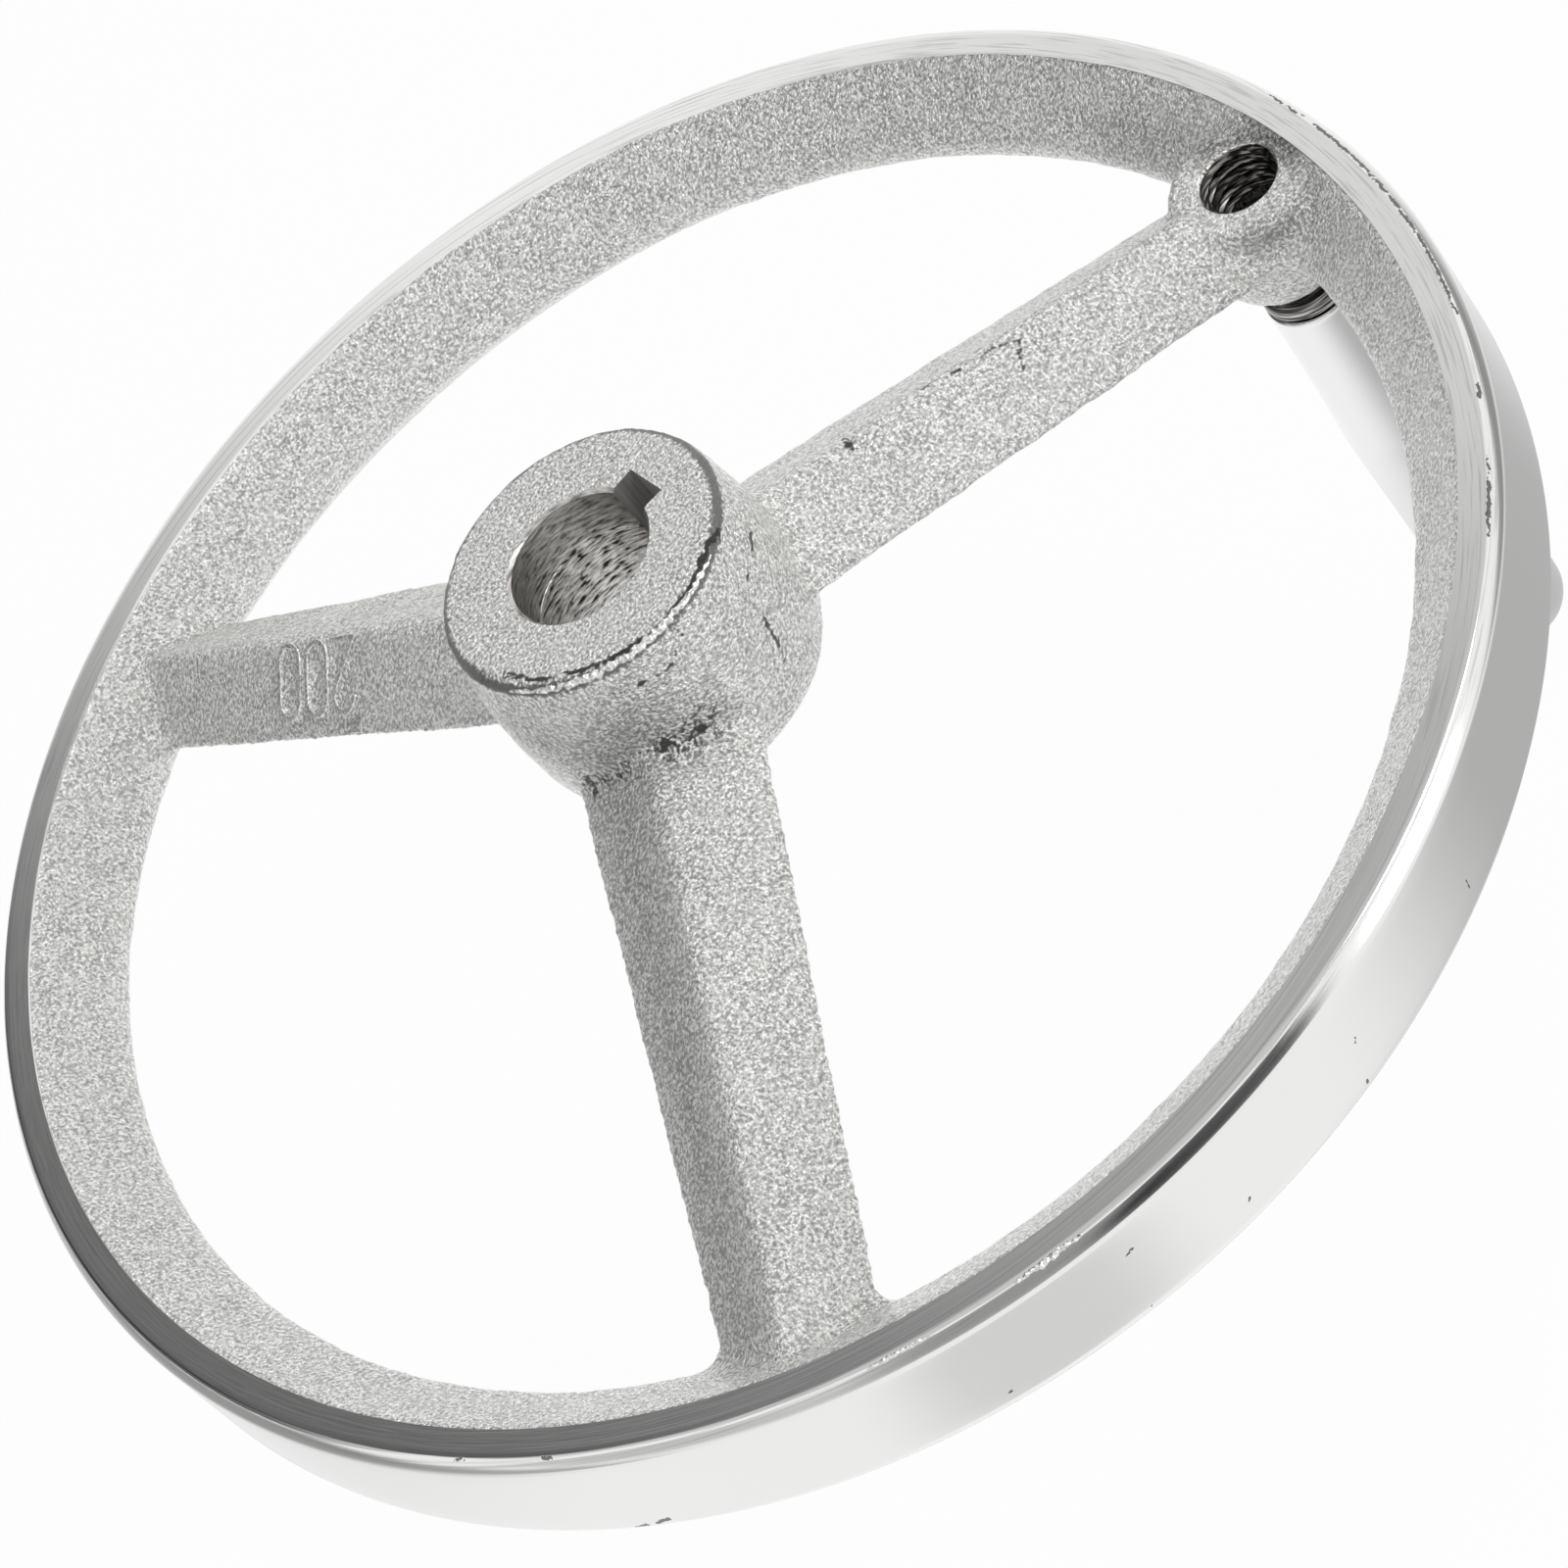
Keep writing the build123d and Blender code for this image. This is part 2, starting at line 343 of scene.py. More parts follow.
def closeness(tree: Tree, where: Socket, scar: Scar) -> Socket:
    """How near a place is to a scar's line: its depth on the line, and 0 beyond its reach.

    Args:
        tree: Node tree that gets the nodes.
        where: Object coordinates.
        scar: The scar, in millimetres.

    Returns:
        The value's socket.
    """
    nearest = None
    for start, end in zip(scar.points, scar.points[1:]):
        run = (Vector(end) - Vector(start)) * MM
        offset = add_node(tree, "VectorMath", (where, Vector(start) * MM), operation="SUBTRACT")
        along = run / run.length_squared
        ahead = add_node(tree, "VectorMath", (offset, along), out="Value", operation="DOT_PRODUCT")
        share = add_node(tree, "Math", (ahead, 1.0), operation="MULTIPLY", use_clamp=True)
        foot = add_node(tree, "VectorMath", {0: run, "Scale": share}, operation="SCALE")
        gap = add_node(tree, "VectorMath", (offset, foot), out="Value", operation="DISTANCE")
        if nearest is not None:
            gap = add_node(tree, "Math", (nearest, gap), operation="MINIMUM")
        nearest = gap
    inputs = (nearest, 0.0, scar.reach * MM, scar.depth, 0.0)
    return add_node(tree, "MapRange", inputs, name=scar.name)


def worst_of(tree: Tree, where: Socket, scars: tuple[Scar, ...]) -> Socket | float:
    """The greatest closeness to any of some scars, or plain 0 where there are none."""
    worst = 0.0
    for scar in scars:
        near = closeness(tree, where, scar)
        worst = add_node(tree, "Math", (worst, near), operation="MAXIMUM")
    return worst


def round_axis(tree: Tree, where: Socket, axis_x: float = 0.0) -> tuple[Socket, Socket, Socket]:
    """Measure places about an upright axis.

    Args:
        tree: Node tree that gets the nodes.
        where: Object coordinates.
        axis_x: Where the axis stands along X, in millimetres.

    Returns:
        The place seen along the axis, its radius and its height.
    """
    centred = add_node(tree, "VectorMath", (where, (-axis_x * MM, 0, 0)), operation="ADD")
    parts = add_node(tree, "SeparateXYZ", (centred,)).node.outputs
    flat = add_node(tree, "CombineXYZ", (parts[0], parts[1]))
    return flat, add_node(tree, "VectorMath", (flat,), out="Value", operation="LENGTH"), parts[2]


def lathe_lines(
    tree: Tree, where: Socket, spacing: float, length: float, axis_x: float = 0.0
) -> Socket:
    """Fine lines that run round an upright axis, as a lathe or a polishing mop leaves them.

    Args:
        tree: Node tree that gets the nodes.
        where: Object coordinates.
        spacing: Distance between lines, in millimetres.
        length: How far one line runs before it fades, in millimetres.
        axis_x: Where the axis stands along X, in millimetres.

    Returns:
        A value from 0 to 1 across the lines.
    """
    flat, radius, height = round_axis(tree, where, axis_x)
    across = add_node(tree, "CombineXYZ", (radius, height))
    fine = add_node(tree, "VectorMath", {0: across, "Scale": per_size(spacing)}, operation="SCALE")
    slow = add_node(tree, "VectorMath", {0: flat, "Scale": per_size(length)}, operation="SCALE")
    mixed = add_node(tree, "VectorMath", (fine, slow), operation="ADD")
    return add_node(tree, "TexNoise", {"Vector": mixed, "Scale": 1.0, "Detail": 3.0})


def upright_marks(
    tree: Tree, where: Socket, spacing: float, length: float, detail: float
) -> Socket:
    """Marks drawn out along the upright axis.

    Args:
        tree: Node tree that gets the nodes.
        where: Object coordinates.
        spacing: Distance between marks, in millimetres.
        length: How far one mark runs, in millimetres.
        detail: How many finer layers they have.

    Returns:
        A value from 0 to 1 across the marks.
    """
    scale = (per_size(spacing), per_size(spacing), per_size(length))
    drawn = add_node(tree, "VectorMath", (where, scale), operation="MULTIPLY")
    return add_node(tree, "TexNoise", {"Vector": drawn, "Scale": 1.0, "Detail": detail})


def close_with_metal(
    tree: Tree,
    colour: Socket | tuple,
    roughness: Socket | float,
    normal: Socket | None = None,
    metallic: float = 1.0,
) -> None:
    """End a material in a metal's shader, which keeps the usual index of refraction.

    Args:
        tree: Node tree that gets the nodes.
        colour: The metal's colour.
        roughness: How much it scatters its reflections.
        normal: Its surface direction, where a relief bends it.
        metallic: Less than 1 where oil or dirt covers part of it.
    """
    inputs = {"Base Color": colour, "Metallic": metallic, "Roughness": roughness}
    if normal is not None:
        inputs["Normal"] = normal
    shader = add_node(tree, "BsdfPrincipled", inputs)
    add_node(tree, "OutputMaterial", {"Surface": shader})


# ---------------------------------------------------------------- finishes


@dataclass(frozen=True)
class CastPlating:
    """Nickel plate over sand-cast grey iron.

    The mould's sand leaves rounded grains about half a millimetre across. The plate is a soft grey
    between them, darker in its creases with painted shade, and bright on the grains' crests with
    painted highlights that whiten them whichever way they face; where they face a lamp they also
    flash white. Each pair of levels is the range of the grain's height over which a change sets in.
    """

    name: str = "nickel_plate_on_sand_cast_iron"
    # crest is the colour of painted highlights on the grains, crease the colour of painted shade
    # between them
    crest: str = "#FDFDFB"
    ground: str = "#D4D4D2"
    crease: str = "#70706E"
    crease_share: float = 0.42
    bare_iron: str = "#4A4947"
    # Colour of the darker ring along the hub's end face edge
    worn: str = "#80807E"
    # Colour of the painted shadow in the fillets and recesses and on a shaded spoke face
    painted_shade: str = "#5E5E5C"
    grain: float = 0.46
    fine_grain: float = 0.2
    fine_share: float = 0.3
    crease_spacing: float = 0.8
    crease_width: float = 0.06
    crease_sink: float = 0.12
    mottle: float = 5.0
    mottle_share: float = 0.3
    crease_levels: Pair = (0.26, 0.44)
    crest_levels: Pair = (0.58, 0.76)
    painted_shade_levels: Pair = (0.35, 0.65)
    painted_shade_swing: Pair = (1.3, 0.5)
    relief: float = 0.5
    roughness: float = 0.27
    # Where and how strongly the plate is darker along a ring round the hub's end face edge
    ring_radius: float = 0.0
    ring_height: float = -0.5
    ring_reach: float = 1.25
    ring_swing: Pair = (1.1, 0.3)
    ring_levels: Pair = (-0.06, 0.3)
    scar_bend: float = 2.2
    scar_sway: float = 0.35
    scar_patch: float = 1.6
    scar_patch_levels: Pair = (0.36, 0.62)
    scar_swing: Pair = (0.6, 1.1)
    scar_levels: Pair = (-0.08, 0.16)
    scar_depth: float = 0.35
    scars: tuple[Scar, ...] = ()
    painted_shades: tuple[Scar, ...] = ()

    def painted_shading(self, tree: Tree, where: Socket, drift: Socket) -> Socket:
        """How much painted shade each place gets in fillets, recesses and a shaded spoke face, with
        soft outlines.

        Args:
            tree: Node tree that gets the nodes.
            where: Object coordinates.
            drift: Noise that the stains' outlines follow.

        Returns:
            The value's socket.
        """
        worst = worst_of(tree, where, self.painted_shades)
        uneven = add_node(tree, "MapRange", (drift, *self.painted_shade_levels, *self.painted_shade_swing))
        return add_node(tree, "Math", (worst, uneven), operation="MULTIPLY", use_clamp=True)

    def creases(self, tree: Tree, where: Socket) -> Socket:
        """Winding creases between the grains: 1 in their middle, and 0 away from them."""
        scale = per_size(self.crease_spacing)
        folds = add_node(tree, "TexNoise", {"Vector": where, "Scale": scale, "Detail": 2.0})
        level = add_node(tree, "Math", (folds, 0.5), operation="SUBTRACT")
        away = add_node(tree, "Math", (level,), operation="ABSOLUTE")
        return add_node(tree, "MapRange", (away, 0.0, self.crease_width, 1.0, 0.0), **SOFT_STEP)

    def ring_darkened(self, tree: Tree, where: Socket, grains: Socket) -> Socket:
        """How much darker the plate is along a ring about the upright axis.

        Args:
            tree: Node tree that gets the nodes.
            where: Object coordinates.
            grains: The grain's height.

        Returns:
            The value's socket, from 0 to 1.
        """
        _, radius, height = round_axis(tree, where)
        across = add_node(tree, "CombineXYZ", {0: radius, 2: height})
        ring = (self.ring_radius * MM, 0.0, self.ring_height * MM)
        away = add_node(tree, "VectorMath", (across, ring), out="Value", operation="DISTANCE")
        near = add_node(tree, "MapRange", (away, 0.0, self.ring_reach * MM, *self.ring_swing))
        ragged = add_node(tree, "Math", (near, grains), operation="SUBTRACT")
        return add_node(tree, "MapRange", (ragged, *self.ring_levels), **SOFT_STEP)

    def scarred(self, tree: Tree, where: Socket, grains: Socket) -> Socket:
        """How scarred each place is, with the scars' outlines broken up by the grain.

        Args:
            tree: Node tree that gets the nodes.
            where: Object coordinates.
            grains: The grain's height.

        Returns:
            The value's socket, from 0 to 1.
        """
        crooked = wandered(tree, where, self.scar_bend, self.scar_sway)
        worst = worst_of(tree, crooked, self.scars)
        scale = per_size(self.scar_patch)
        patches = add_node(tree, "TexNoise", {"Vector": where, "Scale": scale, "Detail": 2.0})
        left = add_node(tree, "MapRange", (patches, *self.scar_patch_levels, *self.scar_swing))
        broken = add_node(tree, "Math", (worst, left), operation="MULTIPLY")
        ragged = add_node(tree, "Math", (broken, grains), operation="SUBTRACT")
        return add_node(tree, "MapRange", (ragged, *self.scar_levels), **SOFT_STEP)

    def material(self) -> bpy.types.Material:
        """Build the material from packed grains, drifting shade and the scars."""
        made, tree, where = new_material(self.name)
        coarse, fine, mottle = (
            add_node(tree, "TexNoise", {"Vector": where, "Scale": per_size(size), **more})
            for size, more in (
                (self.grain, {"Detail": 3.0, "Roughness": 0.6}),
                (self.fine_grain, {"Detail": 1.0}),
                (self.mottle, {"Detail": 3.0}),
            )
        )
        creases = self.creases(tree, where)
        scarred = self.scarred(tree, where, coarse)
        grains = add_node(tree, "Math", (fine, self.fine_share, coarse), operation="MULTIPLY_ADD")
        parted = add_node(
            tree, "Math", (creases, -self.crease_sink, grains), operation="MULTIPLY_ADD"
        )
        sunk = add_node(tree, "Math", (scarred, -self.scar_depth, parted), operation="MULTIPLY_ADD")
        bump = add_node(
            tree, "Bump", {"Height": sunk, "Distance": self.relief * MM, "Strength": 1.0}
        )
        # Creases get painted shade only where they lie low, and its share drifts over the surface
        drift = add_node(
            tree, "Math", (mottle, -self.mottle_share, parted), operation="MULTIPLY_ADD"
        )
        crease_shade = add_node(
            tree, "MapRange", (drift, *self.crease_levels, self.crease_share, 0.0), **SOFT_STEP
        )
        # How much painted highlight whitens each grain's crest
        rubbed = add_node(tree, "MapRange", (grains, *self.crest_levels), **SOFT_STEP)
        layers = [(rubbed, self.crest), (crease_shade, self.crease)]
        # Painted shadow in the fillets and recesses and on a shaded spoke face
        if self.painted_shades:
            layers.append((self.painted_shading(tree, where, coarse), self.painted_shade))
        if self.ring_radius:
            layers.append((self.ring_darkened(tree, where, coarse), self.worn))
        layers.append((scarred, self.bare_iron))
        colour = linear(self.ground)
        for share, over in layers:
            colour = add_node(tree, "Mix", {0: share, 6: colour, 7: linear(over)}, **COLOURS)
        close_with_metal(tree, colour, self.roughness, bump)
        return made


@dataclass(frozen=True)
class BurrPlating(CastPlating):
    """Nickel plate over a trimmed burr, smoother and brighter than the cast skin beside it."""

    name: str = "nickel_plate_on_trimmed_burr"
    ground: str = "#E6E6E4"
    # Its crease colour is painted shade too, lighter than on the cast skin
    crease: str = "#A4A4A2"
    relief: float = 0.15
    roughness: float = 0.22


@dataclass(frozen=True)
class TurnedPlating:
    """Nickel plate over turned and polished iron.

    The last cut and the polishing mop leave lines round the rim, fine ones and broader bands.
    They draw its reflections out into streaks along the rim, and the polish is slightly wavy. The
    mop's finest lines, under a tenth of a millimetre, are drawn coarser so that they show.
    """

    name: str = "nickel_plate_on_turned_iron"
    plate: str = "#ECECEB"
    streak: str = "#D2D2D1"
    nick: str = "#757472"
    line: float = 0.3
    line_length: float = 9.0
    band: float = 1.1
    band_length: float = 50.0
    wave: float = 9.0
    line_relief: float = 0.010
    band_relief: float = 0.016
    wave_relief: float = 0.010
    outside_radius: float = 99.7
    outside_blend: float = 0.4
    outside_share: float = 0.12
    streak_levels: Pair = (0.5, 0.68)
    rough_levels: Pair = (0.3, 0.7)
    rough_swing: Pair = (0.8, 1.6)
    chip: float = 0.45
    chip_edge: float = 0.06
    nick_bend: float = 1.5
    nick_sway: float = 0.2
    nick_depth: float = 0.12
    roughness: float = 0.12
    scars: tuple[Scar, ...] = ()

    def coarseness(self, tree: Tree, where: Socket) -> Socket:
        """How plain the lathe's lines are: whole on the lands, nearly polished away outside."""
        _, radius, _ = round_axis(tree, where)
        edge = ((self.outside_radius - self.outside_blend) * MM, self.outside_radius * MM)
        return add_node(tree, "MapRange", (radius, *edge, 1.0, self.outside_share))

    def nicked(self, tree: Tree, where: Socket) -> Socket:
        """Where the plate is chipped off, from 0 to 1, with ragged outlines."""
        crooked = wandered(tree, where, self.nick_bend, self.nick_sway)
        worst = worst_of(tree, crooked, self.scars)
        scale = per_size(self.chip)
        chips = add_node(tree, "TexNoise", {"Vector": where, "Scale": scale, "Detail": 3.0})
        ragged = add_node(tree, "Math", (worst, chips), operation="SUBTRACT")
        return add_node(tree, "MapRange", (ragged, 0.0, self.chip_edge))

    def material(self) -> bpy.types.Material:
        """Build the material from lines, bands, waves and nicks."""
        made, tree, where = new_material(self.name)
        coarseness = self.coarseness(tree, where)
        lines, bands = (
            add_node(tree, "Mix", {0: coarseness, 2: 0.5, 3: lathe_lines(tree, where, *spacing)})
            for spacing in ((self.line, self.line_length), (self.band, self.band_length))
        )
        scale = per_size(self.wave)
        waves = add_node(tree, "TexNoise", {"Vector": where, "Scale": scale, "Detail": 1.0})
        nicked = self.nicked(tree, where)
        under = {}
        for height, relief in (
            (waves, self.wave_relief),
            (bands, self.band_relief),
            (lines, self.line_relief),
            (nicked, -self.nick_depth),
        ):
            inputs = {"Height": height, "Distance": relief * MM, "Strength": 1.0, **under}
            under = {"Normal": add_node(tree, "Bump", inputs)}
        streaks = add_node(tree, "MapRange", (lines, *self.streak_levels), **SOFT_STEP)
        colour = linear(self.plate)
        for share, over in ((streaks, self.streak), (nicked, self.nick)):
            colour = add_node(tree, "Mix", {0: share, 6: colour, 7: linear(over)}, **COLOURS)
        swing = (self.roughness * share for share in self.rough_swing)
        rough = add_node(tree, "MapRange", (lines, *self.rough_levels, *swing))
        close_with_metal(tree, colour, rough, under["Normal"])
        return made


@dataclass(frozen=True)
class BoredIron:
    """Grey iron bored with a coarse feed and left with a thin, worn plate.

    The tool tore the iron into short ridges that run round it, painted bright on their crests as
    painted highlights and nearly black in the pores between them as painted shade. Near the mouth a
    later cut left it smooth and plain grey.
    """

    name: str = "bored_grey_iron"
    # crest is painted highlight on the torn ridges, and pore is painted shade between them
    crest: str = "#F4F2EF"
    ridge: str = "#C6C4C1"
    pore: str = "#2E2D2C"
    smooth_cut: str = "#9A9895"
    feed: float = 0.5
    tear: float = 1.5
    crest_levels: Pair = (0.48, 0.62)
    pore_levels: Pair = (0.46, 0.37)
    streak: float = 0.35
    streak_length: float = 6.0
    smooth_depth: float = 5.0
    smooth_blend: float = 2.5
    smooth_share: float = 0.5
    relief: float = 0.22
    roughness: float = 0.38

    def torn(self, tree: Tree, where: Socket) -> Socket:
        """How torn the iron is: half in the smooth cut near the mouth, and wholly below it."""
        depth = add_node(tree, "SeparateXYZ", (where,), out="Z")
        start, end = self.smooth_depth, self.smooth_depth + self.smooth_blend
        return add_node(tree, "MapRange", (depth, -start * MM, -end * MM, self.smooth_share, 1.0))

    def material(self) -> bpy.types.Material:
        """Build the material from torn ridges and the streaks of the smooth cut."""
        made, tree, where = new_material(self.name)
        ridges = lathe_lines(tree, where, self.feed, self.tear)
        torn = self.torn(tree, where)
        streaks = upright_marks(tree, where, self.streak, self.streak_length, detail=2.0)
        # Painted highlights on the crests and painted shade in the pores
        crests = add_node(tree, "MapRange", (ridges, *self.crest_levels), **SOFT_STEP)
        pores = add_node(tree, "MapRange", (ridges, *self.pore_levels), **SOFT_STEP)
        ridge, crest, pore, smooth = (
            linear(colour) for colour in (self.ridge, self.crest, self.pore, self.smooth_cut)
        )
        cut = add_node(tree, "Mix", {0: crests, 6: ridge, 7: crest}, **COLOURS)
        pitted = add_node(tree, "Mix", {0: pores, 6: cut, 7: pore}, **COLOURS)
        plain = add_node(tree, "Mix", {0: streaks, 6: ridge, 7: smooth}, **COLOURS)
        colour = add_node(tree, "Mix", {0: torn, 6: plain, 7: pitted}, **COLOURS)
        height = add_node(tree, "Math", (ridges, torn), operation="MULTIPLY")
        bump = add_node(
            tree, "Bump", {"Height": height, "Distance": self.relief * MM, "Strength": 1.0}
        )
        close_with_metal(tree, colour, self.roughness, bump)
        return made


@dataclass(frozen=True)
class BroachedIron:
    """Bare grey iron cut by a broach, dark with oil and nearly without gloss.

    The broach leaves faint marks straight down the keyway.
    """

    name: str = "broached_grey_iron"
    iron: str = "#BDBCBA"
    oiled: str = "#6C6B69"
    mark: float = 0.3
    mark_length: float = 12.0
    relief: float = 0.02
    bare_share: float = 0.3
    roughness: float = 0.5

    def material(self) -> bpy.types.Material:
        """Build the material from marks that are long down the keyway."""
        made, tree, where = new_material(self.name)
        marks = upright_marks(tree, where, self.mark, self.mark_length, detail=3.0)
        shades = {0: marks, 6: linear(self.oiled), 7: linear(self.iron)}
        colour = add_node(tree, "Mix", shades, **COLOURS)
        bump = add_node(
            tree, "Bump", {"Height": marks, "Distance": self.relief * MM, "Strength": 1.0}
        )
        close_with_metal(tree, colour, self.roughness, bump, self.bare_share)
        return made


@dataclass(frozen=True)
class BlackedSteel:
    """Turned steel with a black oxide skin under a film of oil.

    The oxide is nearly black and takes a soft sheen; bare steel shows through on rubbed crests.
    """

    name: str = "black_oxide_turned_steel"
    oxide: str = "#4A4947"
    steel: str = "#D0CECB"
    line: float = 0.32
    line_length: float = 5.0
    worn_levels: Pair = (0.46, 0.62)
    relief: float = 0.01
    roughness: float = 0.3

    def material(self) -> bpy.types.Material:
        """Build the material from turning lines worn through the oxide."""
        made, tree, where = new_material(self.name)
        lines = lathe_lines(tree, where, self.line, self.line_length, HANDLE_X)
        worn = add_node(tree, "MapRange", (lines, *self.worn_levels), **SOFT_STEP)
        shades = {0: worn, 6: linear(self.oxide), 7: linear(self.steel)}
        colour = add_node(tree, "Mix", shades, **COLOURS)
        bump = add_node(
            tree, "Bump", {"Height": lines, "Distance": self.relief * MM, "Strength": 1.0}
        )
        close_with_metal(tree, colour, self.roughness, bump)
        return made


@dataclass(frozen=True)
class TappedThread(BlackedSteel):
    """A tapped thread, painted black as painted shade inside the hole, with painted glints where
    its crests are bright.
    """

    name: str = "oiled_tapped_thread"
    # The near-black oxide is painted shade of the hole, and the steel on the crests is painted
    # glints
    oxide: str = "#1F1E1D"
    steel: str = "#8F8C88"
    line: float = 0.35
    line_length: float = 1.4
    relief: float = 0.045


@dataclass(frozen=True)
class GripChrome:
    """Bright chrome plate on polished steel.

    Hand wear leaves hairlines round the grip and a trace of haze, so its reflections stay sharp
    but not perfect.
    """

    name: str = "bright_chrome_plate"
    chrome: str = "#EFEFEF"
    scratch: str = "#8E8E8E"
    line: float = 0.3
    line_length: float = 12.0
    haze_levels: Pair = (0.3, 0.7)
    relief: float = 0.0004
    roughness: float = 0.06
    scars: tuple[Scar, ...] = ()

    def material(self) -> bpy.types.Material:
        """Build the material from faint hairlines and a few scratches."""
        made, tree, where = new_material(self.name)
        lines = lathe_lines(tree, where, self.line, self.line_length, HANDLE_X)
        bump = add_node(
            tree, "Bump", {"Height": lines, "Distance": self.relief * MM, "Strength": 1.0}
        )
        haze = (lines, *self.haze_levels, self.roughness, 2 * self.roughness)
        rough = add_node(tree, "MapRange", haze)
        scratched = worst_of(tree, where, self.scars)
        shades = {0: scratched, 6: linear(self.chrome), 7: linear(self.scratch)}
        close_with_metal(tree, add_node(tree, "Mix", shades, **COLOURS), rough, bump)
        return made


@dataclass(frozen=True)
class SpringWire:
    """Drawn spring steel wire, bright grey with faint die lines along it."""

    name: str = "drawn_spring_steel"
    steel: str = "#8E8F93"
    grain: float = 0.3
    roughness: float = 0.3
    rough_swing: Pair = (0.7, 1.4)

    def material(self) -> bpy.types.Material:
        """Build the material from a faint drawn grain."""
        made, tree, where = new_material(self.name)
        grain = add_node(tree, "TexNoise", {"Vector": where, "Scale": per_size(self.grain)})
        swing = (self.roughness * share for share in self.rough_swing)
        rough = add_node(tree, "MapRange", (grain, 0.0, 1.0, *swing))
        close_with_metal(tree, linear(self.steel), rough)
        return made


# ---------------------------------------------------------------- sub-assemblies


@dataclass
class CastWheel:
    """The cast body of the wheel, with its machined bore, keyway and tapped hole."""

    node: str = "handwheel_casting"
    voxel: float = 0.69
    hub_length: float = 26.9
    bore_radius: float = 9.0
    bore_chamfer: float = 0.4
    bore_plug_radius: float = 13.0
    bore_segments: int = 192
    # A shallow step that an earlier tool left in the bore: where it starts and ends, and its depth
    step_top: float = 6.6
    step_bottom: float = 7.3
    step_depth: float = 0.08
    step_slope: float = 0.1
    hub_face_radius: float = 18.1
    hub_face_round: float = 1.0
    hub_belly_radius: float = 19.75
    hub_front_radius: float = 18.7
    hub_ridge: float = -12.35
    rim_ridge: float = -29.65
    rim_apex: float = 85.3
    spoke_half_width: float = 11.5
    spoke_rise: float = 7.2
    spoke_face_middle: float = 0.6
    keyway_width: float = 6.0
    keyway_depth: float = 2.8
    keyway_angle: float = 6.0
    boss_back: float = -30.1
    boss_front: float = -46.1
    hole_radius: float = 5.0
    hole_chamfer: float = 0.3
    hole_plug_radius: float = 6.5
    hole_segments: int = 96
    clearance: float = 1.0
    land_radius: float = 95.3
    band_seat_radius: float = 96.6
    band_seat_depth: float = 0.4
    band_seat_slope: float = 0.5
    rim_middle: float = -37.9
    ring_inset: float = 0.2
    # How the sand and the poured iron round the casting off, most of all round the boss's foot
    smoothing: int = 2
    foot_smoothing: int = 24
    foot_inside: float = 8.0
    foot_outside: float = 12.5
    foot_top: float = -32.6
    foot_rim_radius: float = 94.3
    # Size and height of the skin's unevenness, and where in the noise each layer lies
    uneven: tuple[tuple[float, float, Place], ...] = (
        (2.6, 0.10, (0, 0, 0)),
        (1.5, 0.08, (2, 8, 4)),
        (9.0, 0.12, (7, 3, 5)),
    )

    def core(self) -> bpy.types.Object:
        """Copy the solid in millimetres, fill its machined holes and divide it evenly."""
        bm = merged_copy(self.node)
        for x, radius, top, bottom in (
            (0.0, self.bore_plug_radius, 0.0, -self.hub_length),
            (HANDLE_X, self.hole_plug_radius, self.boss_back, self.boss_front),
        ):
            bmesh.ops.create_cone(
                bm,
                cap_ends=True,
                segments=self.hole_segments,
                radius1=radius,
                radius2=radius,
                depth=top - bottom,
                matrix=Matrix.Translation((x, 0, (top + bottom) / 2)),
            )
        body = to_object(bm, "cast_wheel")
        remesh = body.modifiers.new("even_faces", "REMESH")
        remesh.mode = "VOXEL"
        remesh.voxel_size = self.voxel
        apply_modifiers(body)
        return body

    def seat_band(self, bm: bmesh.types.BMesh) -> None:
        """Cut the core back under the turned band of the rim and close the cut."""
        for vert in bm.verts:
            inside = (math.hypot(*vert.co.xy) - self.land_radius) / self.band_seat_slope
            sunk = min(max(inside, 0), 1) * self.band_seat_depth
            vert.co.z += -sunk if vert.co.z > self.rim_middle else sunk
        outside = [
            face
            for face in bm.faces
            if math.hypot(*face.calc_center_median().xy) > self.band_seat_radius
        ]
        bmesh.ops.delete(bm, geom=outside, context="FACES")
        bmesh.ops.bridge_loops(bm, edges=[edge for edge in bm.edges if edge.is_boundary])

    @staticmethod
    def soften(bm: bmesh.types.BMesh, verts: list[bmesh.types.BMVert], rounds: int) -> None:
        """Smooth part of a mesh some rounds over."""
        axes = {"use_axis_x": True, "use_axis_y": True, "use_axis_z": True}
        for _ in range(rounds):
            bmesh.ops.smooth_vert(bm, verts=verts, factor=0.5, **axes)

    def weather(self, bm: bmesh.types.BMesh) -> None:
        """Soften the core as cast iron fills a sand mould, and give it the sand's unevenness."""
        self.soften(bm, bm.verts[:], self.smoothing)
        boss = Vector((HANDLE_X, 0))
        foot = [
            vert
            for vert in bm.verts
            if self.foot_inside < (vert.co.xy - boss).length < self.foot_outside
            and vert.co.z < self.foot_top
            and math.hypot(*vert.co.xy) < self.foot_rim_radius
        ]
        self.soften(bm, foot, self.foot_smoothing)
        bm.normal_update()
        rises = [
            sum(
                height * noise.noise(vert.co / size + Vector(start))
                for size, height, start in self.uneven
            )
            for vert in bm.verts
        ]
        for vert, rise in zip(bm.verts, rises):
            if math.hypot(*vert.co.xy) < self.land_radius:
                vert.co += vert.normal * rise

    def cut(self, body: bpy.types.Object, cutter: bmesh.types.BMesh, material: int) -> None:
        """Machine a shape out of the casting.

        Args:
            body: The casting.
            cutter: The shape that is cut away.
            material: Which of the casting's materials the cut faces wear.
        """
        for face in cutter.faces:
            face.material_index = material
        tool = to_object(cutter, "cutter")
        for worn in body.data.materials:
            tool.data.materials.append(worn)
        boolean = body.modifiers.new("cut", "BOOLEAN")
        boolean.operation = "DIFFERENCE"
        boolean.solver = "EXACT"
        boolean.object = tool
        apply_modifiers(body)
        bpy.data.objects.remove(tool)

